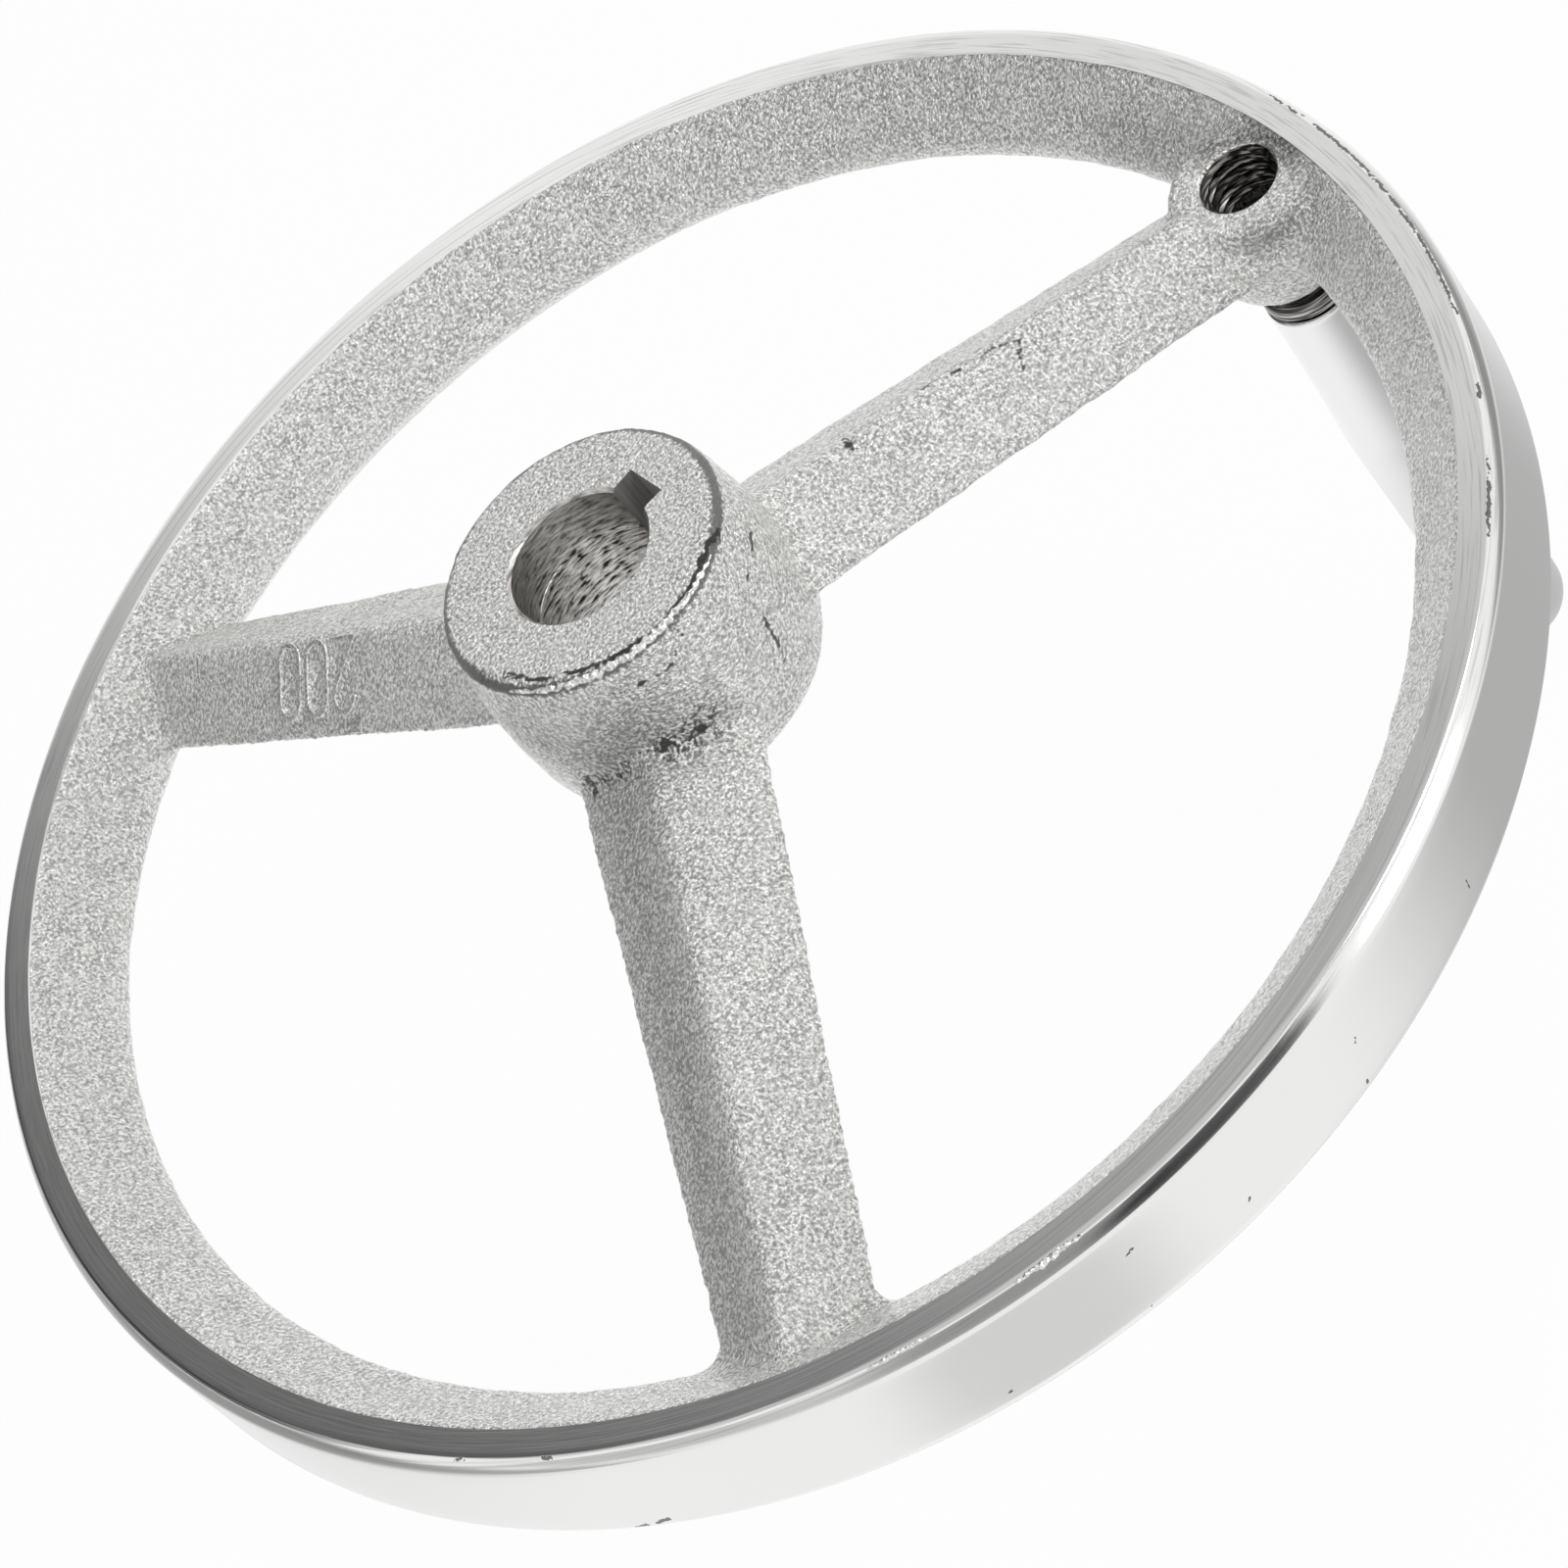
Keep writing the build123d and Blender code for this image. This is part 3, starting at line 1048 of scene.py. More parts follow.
    def drill(
        self, radius: float, chamfer: float, top: float, bottom: float, steps: tuple[Pair, ...] = ()
    ) -> list[Pair]:
        """Profile of a drill that chamfers both mouths of a hole.

        Args:
            radius: Radius of the hole.
            chamfer: Size of the chamfer at both mouths.
            top: Height of the upper mouth.
            bottom: Height of the lower mouth.
            steps: Corners of the hole's wall between its mouths.

        Returns:
            Radius and height of each corner.
        """
        clear = self.clearance
        wide = radius + chamfer + clear
        upper = [(0, top + clear), (wide, top + clear), (radius, top - chamfer)]
        lower = [(radius, bottom + chamfer), (wide, bottom - clear), (0, bottom - clear)]
        return [*upper, *steps, *lower]

    def bore_cutter(self) -> bmesh.types.BMesh:
        """Shape of the bore, with the chamfers at both mouths and the step in it."""
        wall, deep = self.bore_radius, self.bore_radius + self.step_depth
        steps = (
            (wall, -self.step_top),
            (deep, -self.step_top - self.step_slope),
            (deep, -self.step_bottom + self.step_slope),
            (wall, -self.step_bottom),
        )
        profile = self.drill(wall, self.bore_chamfer, 0.0, -self.hub_length, steps)
        return spin_profile(profile, self.bore_segments)

    def keyway_cutter(self) -> bmesh.types.BMesh:
        """Shape of the broached keyway."""
        bm = bmesh.new()
        bmesh.ops.create_cube(bm, size=1.0)
        reach = self.bore_radius + self.keyway_depth
        length = self.hub_length + 2 * self.clearance
        bmesh.ops.scale(bm, vec=(reach, self.keyway_width, length), verts=bm.verts)
        bmesh.ops.translate(bm, vec=(reach / 2, 0, -self.hub_length / 2), verts=bm.verts)
        swing = Matrix.Rotation(math.radians(self.keyway_angle), 3, "Z")
        bmesh.ops.rotate(bm, cent=(0, 0, 0), matrix=swing, verts=bm.verts)
        return bm

    def hole_cutter(self) -> bmesh.types.BMesh:
        """Shape of the tapped hole at the bottom of its thread."""
        profile = self.drill(self.hole_radius, self.hole_chamfer, self.boss_back, self.boss_front)
        return spin_profile(profile, self.hole_segments, HANDLE_X)

    def build(self) -> bpy.types.Object:
        """Make the casting's piece, riding on the wheel."""
        body = self.core()
        bm = bmesh.new()
        bm.from_mesh(body.data)
        self.seat_band(bm)
        self.weather(bm)
        bm.to_mesh(body.data)
        bm.free()
        for finish in (self.skin(), BoredIron(), BroachedIron()):
            body.data.materials.append(finish.material())
        self.cut(body, self.bore_cutter(), material=1)
        self.cut(body, self.keyway_cutter(), material=2)
        self.cut(body, self.hole_cutter(), material=1)
        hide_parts(self.node)
        return finish_piece(body, Body.WHEEL)

    def skin(self) -> CastPlating:
        """The casting's plated skin with its own faults, painted shadow in its fillets and
        recesses, and a darker ring along the end face's edge.
        """
        ring = self.hub_face_radius - self.ring_inset
        return CastPlating(ring_radius=ring, scars=self.scars(), painted_shades=self.painted_shades())

    def on_face(self, angle: float, radius: float) -> Place:
        """A place on the hub's end face, or on its rounded edge, from an angle and a radius."""
        turn = math.radians(angle)
        over = max(radius - self.hub_face_radius + self.hub_face_round, 0)
        drop = self.hub_face_round - math.sqrt(max(self.hub_face_round**2 - over**2, 0))
        return radius * math.cos(turn), radius * math.sin(turn), -drop

    def on_drum(self, angle: float, height: float) -> Place:
        """A place on the hub's barrelled side, from an angle and a height."""
        turn = math.radians(angle)
        share = -height / self.hub_length
        bulge = self.hub_belly_radius - (self.hub_face_radius + self.hub_front_radius) / 2
        straight = self.hub_face_radius + share * (self.hub_front_radius - self.hub_face_radius)
        radius = straight + 4 * bulge * share * (1 - share)
        return radius * math.cos(turn), radius * math.sin(turn), height

    def on_spoke(self, radius: float, down: float) -> Place:
        """A place on the handle's spoke, from its radius and how far it lies down the -Y face."""
        share = (radius - self.hub_face_radius) / (self.rim_apex - self.hub_face_radius)
        ridge = self.hub_ridge + share * (self.rim_ridge - self.hub_ridge)
        slope = math.atan2(self.spoke_rise, self.spoke_half_width)
        return radius, -down * math.cos(slope), ridge - abs(down) * math.sin(slope)

    def under_ridge(self, turn: float, start: float, end: float) -> tuple[Place, Place]:
        """Two places down the middle of another spoke's -Y face.

        Args:
            turn: The spoke's angle from the handle's, in degrees.
            start: Radius of the first place.
            end: Radius of the last.

        Returns:
            The places, in millimetres.
        """
        swing = Matrix.Rotation(math.radians(turn), 3, "Z")
        down = self.spoke_half_width * self.spoke_face_middle
        return tuple(tuple(swing @ Vector(self.on_spoke(radius, down))) for radius in (start, end))

    def scars(self) -> tuple[Scar, ...]:
        """The casting's own faults: a groove, a crack, pores and dark marks, with painted shadow in
        the groove's line and at a spoke's root.
        """
        face, drum, spoke = self.on_face, self.on_drum, self.on_spoke
        groove = (
            (-160, 16.5),
            (-150, 16.6),
            (-134, 16.8),
            (-120, 16.9),
            (-106, 17.4),
            (-92, 17.8),
            (-77, 17.6),
            (-62, 17.6),
            (-44, 18.0),
        )
        return (
            # The groove's dark line is a real groove in the bump, darkened with painted shadow in
            # the bare-iron colour
            Scar("face_groove", tuple(face(*place) for place in groove), 0.65, 1.2),
            Scar("drum_crack", (drum(-90, -3.9), drum(-98, -4.7), drum(-106, -4.4)), 0.55, 1.1),
            Scar("crack_end", (drum(-106, -4.4), drum(-112, -3.8), drum(-119, -3.2)), 0.45, 1.0),
            Scar("crack_top", (drum(-84.5, -1.5), drum(-85, -3.3)), 0.5, 0.95),
            Scar("root_pores", (drum(-126, -15.5), drum(-115, -14), drum(-98, -14)), 5.0, 0.72),
            # root_shadow is painted shadow at the spoke's root, drawn in the bare-iron colour
            Scar("root_shadow", (drum(-148, -17), drum(-138, -16.5), drum(-128, -15)), 4.5, 0.68),
            Scar("drum_mark_upper", (drum(-35, -5.8), drum(-42.5, -6.2)), 0.7, 1.05),
            Scar("drum_mark_lower", (drum(-52, -6.7), drum(-55, -6.9)), 0.5, 1.0),
            Scar("drum_streak", (drum(-59, -11.5), drum(-62, -15), drum(-64, -17.5)), 1.0, 0.7),
            Scar("spoke_scrape", (spoke(50.8, 0.5), spoke(55.6, 1.4), spoke(53.0, 4.9)), 0.7, 0.82),
            Scar("ridge_rub", (spoke(42.6, -0.4), spoke(48.1, 0.4)), 0.7, 0.78),
            Scar("ridge_dent", (spoke(32.3, -0.8), spoke(32.2, 1.4)), 1.2, 0.85),
            Scar("rim_slope_pit", ((59.6, 62.9, -37.0), (60.2, 63.1, -37.0)), 0.9, 0.8),
        )

    def painted_shades(self) -> tuple[Scar, ...]:
        """Painted shadow where the casting's fillets, recesses and one spoke face lie in shade."""
        drum = self.on_drum
        fillet = ((89.5, 6.8, -30.2), (93.6, 4.0, -30.0), (94.8, -3.0, -29.8))
        return (
            Scar("spoke_dark_face", self.under_ridge(240.0, 24.0, 84.0), 8.5, 0.35),
            Scar("drum_shadow", (drum(-160, -9), drum(-140, -12), drum(-118, -11)), 9.0, 0.45),
            Scar("root_dullness", (drum(-140, -19), drum(-120, -16), drum(-100, -15)), 6.0, 0.35),
            Scar("boss_fillet", fillet, 4.0, 0.75),
            Scar("boss_hollow", ((84.6, -8.0, -31.6), (88.4, -9.0, -33.0)), 3.6, 0.55),
            Scar("boss_beside_rim", ((94.6, -3.0, -29.8), (93.0, -8.6, -31.0)), 3.0, 0.4),
            Scar("rim_above_boss", ((87.0, 14.0, -33.0), (84.0, 24.0, -33.0)), 7.0, 0.35),
        )


@dataclass
class RaisedNumerals:
    """The size numerals cast on the back of one spoke, cut crisply out of a copy of the solid."""

    node: str = "handwheel_casting"
    spoke_turn: float = 120.0
    radius: float = 49.5
    ridge_height: float = -20.43
    normal: Place = (0.2107, 0.5160, 0.8190)
    first: float = 45.0
    last: float = 65.0
    above_skin: float = 0.1
    tallest: float = 1.0
    root: float = 0.5
    flat_angle: float = 2.0
    crisp_angle: float = 50.0
    edge_round: float = 0.16

    def outlined(self, bm: bmesh.types.BMesh, outwards: Vector) -> None:
        """Leave only the tops of the numerals, just above the spoke's skin.

        Args:
            bm: The solid, turned so that the spoke lies along +X.
            outwards: Direction out of the spoke's face.
        """
        skin = Vector((self.radius, 0, self.ridge_height)) + outwards * self.above_skin
        for point, kept in (
            (skin, outwards),
            (Vector((self.first, 0, 0)), Vector((1, 0, 0))),
            (Vector((self.last, 0, 0)), Vector((-1, 0, 0))),
            (Vector((0, 0, 0)), Vector((0, 1, 0))),
        ):
            whole = bm.verts[:] + bm.edges[:] + bm.faces[:]
            bmesh.ops.bisect_plane(bm, geom=whole, plane_co=point, plane_no=kept, clear_inner=True)
        beyond = [vert for vert in bm.verts if (vert.co - skin).dot(outwards) > self.tallest]
        bmesh.ops.delete(bm, geom=beyond, context="VERTS")
        bmesh.ops.dissolve_limit(
            bm,
            angle_limit=math.radians(self.flat_angle),
            verts=bm.verts,
            edges=bm.edges,
            use_dissolve_boundaries=False,
        )

    def build(self) -> bpy.types.Object:
        """Make the numerals' piece, rooted in the skin and riding on the wheel."""
        bm = merged_copy(self.node)
        turn = Matrix.Rotation(math.radians(self.spoke_turn), 3, "Z")
        bmesh.ops.rotate(bm, cent=(0, 0, 0), matrix=turn.transposed(), verts=bm.verts)
        outwards = Vector(self.normal).normalized()
        self.outlined(bm, outwards)
        rim = [edge for edge in bm.edges if edge.is_boundary]
        walls = bmesh.ops.extrude_edge_only(bm, edges=rim)["geom"]
        feet = [item for item in walls if isinstance(item, bmesh.types.BMVert)]
        bmesh.ops.translate(bm, vec=outwards * -self.root, verts=feet)
        crisp_angle = math.radians(self.crisp_angle)
        crisp = [e for e in bm.edges if e.is_manifold and e.calc_face_angle(0) > crisp_angle]
        bmesh.ops.bevel(
            bm,
            geom=crisp,
            offset=self.edge_round,
            segments=3,
            profile=0.5,
            affect="EDGES",
            material=-1,
        )
        bmesh.ops.remove_doubles(bm, verts=bm.verts, dist=SAME_PLACE)
        hidden = [edge for edge in bm.edges if edge.is_boundary]
        bmesh.ops.triangle_fill(bm, edges=hidden, use_beauty=True, normal=-outwards)
        bmesh.ops.recalc_face_normals(bm, faces=bm.faces)
        bmesh.ops.rotate(bm, cent=(0, 0, 0), matrix=turn, verts=bm.verts)
        numerals = to_object(bm, "raised_numerals")
        finish = BurrPlating(name="nickel_plate_on_raised_numerals")
        numerals.data.materials.append(finish.material())
        return finish_piece(numerals, Body.WHEEL)


@dataclass
class EdgeBurr:
    """A ragged, beaded burr that trimming left along a stretch of a round edge."""

    name: str
    radius: float
    height: float
    thickness: float
    start: float
    turn: float
    bead: float = 0.7
    bead_height: float = 1.1
    step: float = 0.08
    sides: int = 12

    def ring_section(self) -> bmesh.types.BMesh:
        """The burr's round section, standing at its start."""
        bm = bmesh.new()
        bmesh.ops.create_circle(bm, cap_ends=True, segments=self.sides, radius=self.thickness)
        upright = Matrix.Rotation(math.pi / 2, 4, "X")
        place = Matrix.Translation((self.radius, 0, self.height))
        swing = Matrix.Rotation(math.radians(self.start), 4, "Z")
        bmesh.ops.transform(bm, matrix=swing @ place @ upright, verts=bm.verts)
        return bm

    def build(self) -> bpy.types.Object:
        """Make the burr's piece, riding on the wheel."""
        bm = self.ring_section()
        length = math.radians(self.turn) * self.radius
        bmesh.ops.spin(
            bm,
            geom=bm.verts[:] + bm.edges[:] + bm.faces[:],
            cent=(0, 0, 0),
            axis=(0, 0, 1),
            angle=math.radians(self.turn),
            steps=round(length / self.step),
        )
        for vert in bm.verts:
            angle = math.degrees(math.atan2(vert.co.y, vert.co.x))
            share = min(max((angle - self.start) / self.turn, 0), 1)
            taper = math.sin(math.pi * share) ** 0.5
            flat = Vector((vert.co.x, vert.co.y, 0)).normalized() * self.radius
            middle = flat + Vector((0, 0, self.height))
            lump = 1 + self.bead_height * noise.noise(vert.co / self.bead)
            sunk = Vector((0, 0, -self.thickness * (1 - taper)))
            vert.co = middle + (vert.co - middle) * taper * lump + sunk
        bmesh.ops.remove_doubles(bm, verts=bm.verts, dist=SAME_PLACE)
        bmesh.ops.recalc_face_normals(bm, faces=bm.faces)
        burr = to_object(bm, self.name)
        burr.data.materials.append(BurrPlating().material())
        return finish_piece(burr, Body.WHEEL)


@dataclass
class RimBand:
    """The turned and polished band of the rim."""

    radius: float = 100.0
    back: float = -29.0
    front: float = -46.8
    land_radius: float = 95.26
    tuck_radius: float = 95.0
    tuck_depth: float = 1.0
    chamfer_radial: float = 1.1
    chamfer_axial: float = 2.0
    edge_round: float = 0.4
    widest_face: float = 1.5
    face_cuts: int = 5
    scar_step: float = 4.0
    segments: int = 720

    def build(self) -> bpy.types.Object:
        """Make the band's piece, riding on the wheel."""
        bm = bmesh.new()
        shoulder = self.radius - self.chamfer_radial
        section = [
            (self.tuck_radius, self.back - self.tuck_depth),
            (self.land_radius, self.back),
            (shoulder, self.back),
            (self.radius, self.back - self.chamfer_axial),
            (self.radius, self.front + self.chamfer_axial),
            (shoulder, self.front),
            (self.land_radius, self.front),
            (self.tuck_radius, self.front + self.tuck_depth),
        ]
        outer = add_chain(bm, section, closed=True)[2:6]
        round_corners(bm, outer, self.edge_round, segments=3)
        wide = [edge for edge in bm.edges if edge.calc_length() > self.widest_face]
        bmesh.ops.subdivide_edges(bm, edges=wide, cuts=self.face_cuts)
        turn_wire(bm, self.segments)
        band = to_object(bm, "turned_rim_band")
        band.data.materials.append(TurnedPlating(scars=self.scars()).material())
        return finish_piece(band, Body.WHEEL)

    def on_band(self, radius: float, angle: float, height: float) -> Place:
        """A place from its radius, its angle in degrees and its height."""
        turn = math.radians(angle)
        return radius * math.cos(turn), radius * math.sin(turn), height

    def along_edge(self, start: float, end: float) -> tuple[Place, ...]:
        """Places every few degrees along the band's back edge, between two angles."""
        radius = self.radius - self.chamfer_radial
        steps = max(1, round(abs(end - start) / self.scar_step))
        angles = [start + (end - start) * step / steps for step in range(steps + 1)]
        return tuple(self.on_band(radius, angle, self.back) for angle in angles)

    def scars(self) -> tuple[Scar, ...]:
        """Where the plate is nicked and pitted: along the back edge and on the outside."""
        # Name, angles of both ends, reach and depth of each nick in the edge
        nicks = (
            ("edge_nicks_by_handle", 3.0, -25.0, 0.55, 0.9),
            ("edge_nicks_right", -37.5, -44.0, 0.55, 0.9),
            ("edge_dent_right", -31.6, -32.6, 0.6, 1.0),
            ("edge_dent_left", -142.8, -143.4, 0.6, 1.0),
            ("edge_dent_lower", -136.2, -136.8, 0.5, 1.0),
            ("edge_crumbs", -103.0, -98.4, 0.5, 0.75),
        )
        # Name, angle and height of both ends, reach and depth of each pit in the outside
        pits = (
            ("pit_wide", (-134.9, -44.9), (-134.2, -44.6), 0.8, 1.0),
            ("pit_beside", (-133.2, -44.2), (-132.5, -43.8), 0.8, 1.0),
            ("pit_low", (-78.9, -44.8), (-78.8, -44.5), 0.4, 1.1),
            ("pit_middle", (-78.0, -38.8), (-77.8, -38.4), 0.4, 1.0),
            ("pit_right", (-65.3, -42.6), (-65.1, -41.4), 0.35, 0.9),
            ("pit_under_burr", (-98.5, -44.9), (-98.1, -44.7), 0.4, 0.95),
            ("pit_above_it", (-97.1, -35.3), (-96.5, -35.1), 0.35, 0.95),
            ("pit_mid_front", (-89.4, -42.6), (-89.1, -41.9), 0.35, 0.9),
            ("pit_far_left", (-108.1, -43.3), (-107.9, -43.1), 0.35, 1.0),
        )
        nicked = [
            Scar(name, self.along_edge(start, end), reach, depth)
            for name, start, end, reach, depth in nicks
        ]
        pitted = [
            Scar(name, tuple(self.on_band(self.radius, *end) for end in ends), reach, depth)
            for name, *ends, reach, depth in pits
        ]
        return (*nicked, *pitted)


@dataclass
class BossThread:
    """The thread tapped in the boss for the handle's spindle."""

    top: float = -30.7
    major_radius: float = 5.06
    minor_radius: float = 4.25
    root_half_width: float = 0.70
    crest_half_width: float = 0.12
    pitch: float = 1.5
    turns: float = 5.0

    def build(self) -> bpy.types.Object:
        """Make the thread's piece, riding on the wheel."""
        bm = bmesh.new()
        section = [
            (self.major_radius, self.root_half_width),
            (self.minor_radius, self.crest_half_width),
            (self.minor_radius, -self.crest_half_width),
            (self.major_radius, -self.root_half_width),
        ]
        helical_ridge(bm, section, self.pitch, self.turns, self.top)
        thread = to_object(bm, "boss_thread")
        thread.data.materials.append(TappedThread().material())
        return finish_piece(thread, Body.WHEEL)


@dataclass
class HandleSpindle:
    """The threaded spindle that carries the grip."""

    node: str = "handle_spindle"
    stud_end: float = -37.8
    stud_chamfer_radial: float = 0.6
    stud_chamfer_axial: float = 0.5
    collar_back: float = -48.7
    collar_front: float = -51.1
    journal_end: float = -109.1
    core_radius: float = 4.15
    root_radius: float = 4.05
    root_half_width: float = 0.66
    crest_radius: float = 4.95
    crest_half_width: float = 0.1
    pitch: float = 1.5
    thread_start: float = 0.9
    thread_runout: float = 0.6
    collar_radius: float = 5.9
    collar_chamfer: float = 0.4
    journal_radius: float = 4.0
    journal_chamfer: float = 0.8
    groove_radius: float = 3.25
    groove_half_width: float = 0.65
    segments: int = 96

    def build(self) -> bpy.types.Object:
        """Make the spindle's piece, riding on the wheel."""
        chamfer = self.collar_chamfer
        groove_top, groove_end = RING_Z + self.groove_half_width, RING_Z - self.groove_half_width
        profile = [
            (0, self.stud_end),
            (self.core_radius - self.stud_chamfer_radial, self.stud_end),
            (self.core_radius, self.stud_end - self.stud_chamfer_axial),
            (self.core_radius, self.collar_back),
            (self.collar_radius - chamfer, self.collar_back),
            (self.collar_radius, self.collar_back - chamfer),
            (self.collar_radius, self.collar_front + chamfer),
            (self.collar_radius - chamfer, self.collar_front),
            (self.journal_radius, self.collar_front),
            (self.journal_radius, groove_top),
            (self.groove_radius, groove_top),
            (self.groove_radius, groove_end),
            (self.journal_radius, groove_end),
            (self.journal_radius, self.journal_end + self.journal_chamfer),
            (self.journal_radius - self.journal_chamfer, self.journal_end),
            (0, self.journal_end),
        ]
        bm = spin_profile(profile, self.segments, HANDLE_X)
        section = [
            (self.root_radius, -self.root_half_width),
            (self.crest_radius, -self.crest_half_width),
            (self.crest_radius, self.crest_half_width),
            (self.root_radius, self.root_half_width),
        ]
        top = self.stud_end - self.thread_start
        turns = (top - self.collar_back - self.thread_runout) / self.pitch
        helical_ridge(bm, section, self.pitch, turns, top)
        spindle = to_object(bm, "blacked_spindle")
        spindle.data.materials.append(BlackedSteel().material())
        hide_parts(self.node)
        return finish_piece(spindle, Body.WHEEL)


@dataclass
class RetainingRing:
    """The split wire ring inside the grip, kept as the solid it is."""

    node: str = "retaining_ring"

    def build(self) -> bpy.types.Object:
        """Dress the ring's own mesh in spring steel."""
        ring = bpy.data.objects[self.node]
        ring.data.materials.clear()
        ring.data.materials.append(SpringWire().material())
        LOG.info("%s: kept, %d faces", ring.name, len(ring.data.polygons))
        return ring


@dataclass
class Grip:
    """The revolving grip."""

    node: str = "handle_grip"
    mouth: float = -51.4
    end: float = -125.2
    bore_radius: float = 4.05
    bore_end: float = -111.1
    mouth_radius: float = 6.05
    mouth_round: float = 0.4
    belly_radius: float = 6.75
    belly_from_mouth: float = 26.0
    belly_steps: int = 24
    taper_length: float = 23.0
    taper_steps: int = 16
    tip_radius: float = 6.5
    tip_steps: int = 24
    groove_radius: float = 4.8
    groove_half_width: float = 1.0
    segments: int = 256

    def outline(self) -> list[Pair]:
        """Radius and height down the grip's outside, from the mouth to the pole of its ball."""
        swell = self.belly_radius - self.mouth_radius
        arc = (self.belly_from_mouth**2 + swell**2) / (2 * swell)
        points = []
        for step in range(1, self.belly_steps + 1):
            down = self.belly_from_mouth * step / self.belly_steps
            radius = self.mouth_radius + arc - math.sqrt(arc**2 - down**2)
            points.append((radius, self.mouth - down))
        belly = self.mouth - self.belly_from_mouth
        for step in range(1, self.taper_steps + 1):
            share = step / self.taper_steps
            ease = share * share * (3 - 2 * share)
            radius = self.belly_radius + (self.tip_radius - self.belly_radius) * ease
            points.append((radius, belly - self.taper_length * share))
        centre = self.end + self.tip_radius
        for step in range(self.tip_steps):
            angle = math.pi / 2 * step / self.tip_steps
            reach, drop = self.tip_radius * math.cos(angle), self.tip_radius * math.sin(angle)
            points.append((reach, centre - drop))
        return points + [(0, self.end)]

    def build(self) -> bpy.types.Object:
        """Make the grip's piece, riding on its own body."""
        groove_top, groove_end = RING_Z + self.groove_half_width, RING_Z - self.groove_half_width
        inside = [
            (0, self.bore_end),
            (self.bore_radius, self.bore_end),
            (self.bore_radius, groove_end),
            (self.groove_radius, groove_end),
            (self.groove_radius, groove_top),
            (self.bore_radius, groove_top),
            (self.bore_radius, self.mouth),
            (self.mouth_radius, self.mouth),
        ]
        bm = bmesh.new()
        corners = add_chain(bm, inside + self.outline(), HANDLE_X)
        round_corners(bm, [corners[len(inside) - 1]], self.mouth_round, segments=4)
        turn_wire(bm, self.segments, HANDLE_X)
        grip = to_object(bm, "chromed_grip")
        grip.data.materials.append(GripChrome(scars=self.scratches()).material())
        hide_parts(self.node)
        return finish_piece(grip, Body.GRIP)

    def scratches(self) -> tuple[Scar, ...]:
        """Short scratches and specks in the grip's plate."""
        curved = ((82.7, -3.4, -63.9), (83.2, -4.1, -64.35), (84.0, -5.0, -64.3))
        return (
            Scar("curved_scratch", curved, 0.12, 0.8),
            Scar("faint_scratch", ((82.3, -2.9, -70.8), (83.6, -4.7, -71.0)), 0.12, 0.4),
            Scar("upper_speck", ((86.2, -6.1, -60.8), (86.4, -6.2, -60.8)), 0.15, 0.8),
            Scar("lower_speck", ((82.1, -2.4, -69.7), (82.1, -2.6, -69.7)), 0.15, 0.8),
        )


# ---------------------------------------------------------------- studio


@dataclass(frozen=True)
class SoftBox:
    """A soft lamp of the studio, placed round the part."""

    name: str
    azimuth: float
    elevation: float
    distance: float
    size: float
    watts: float


@dataclass(frozen=True)
class DarkCard:
    """A round, soft-edged dark part of the surroundings, seen only in the part's metal."""

    name: str
    azimuth: float
    elevation: float
    core: float
    edge: float
    darkness: float


@dataclass(frozen=True)
class FloorShade:
    """A soft dark patch of the floor, seen only in the part's metal."""

    name: str
    x: float
    y: float
    core: float
    edge: float
    darkness: float


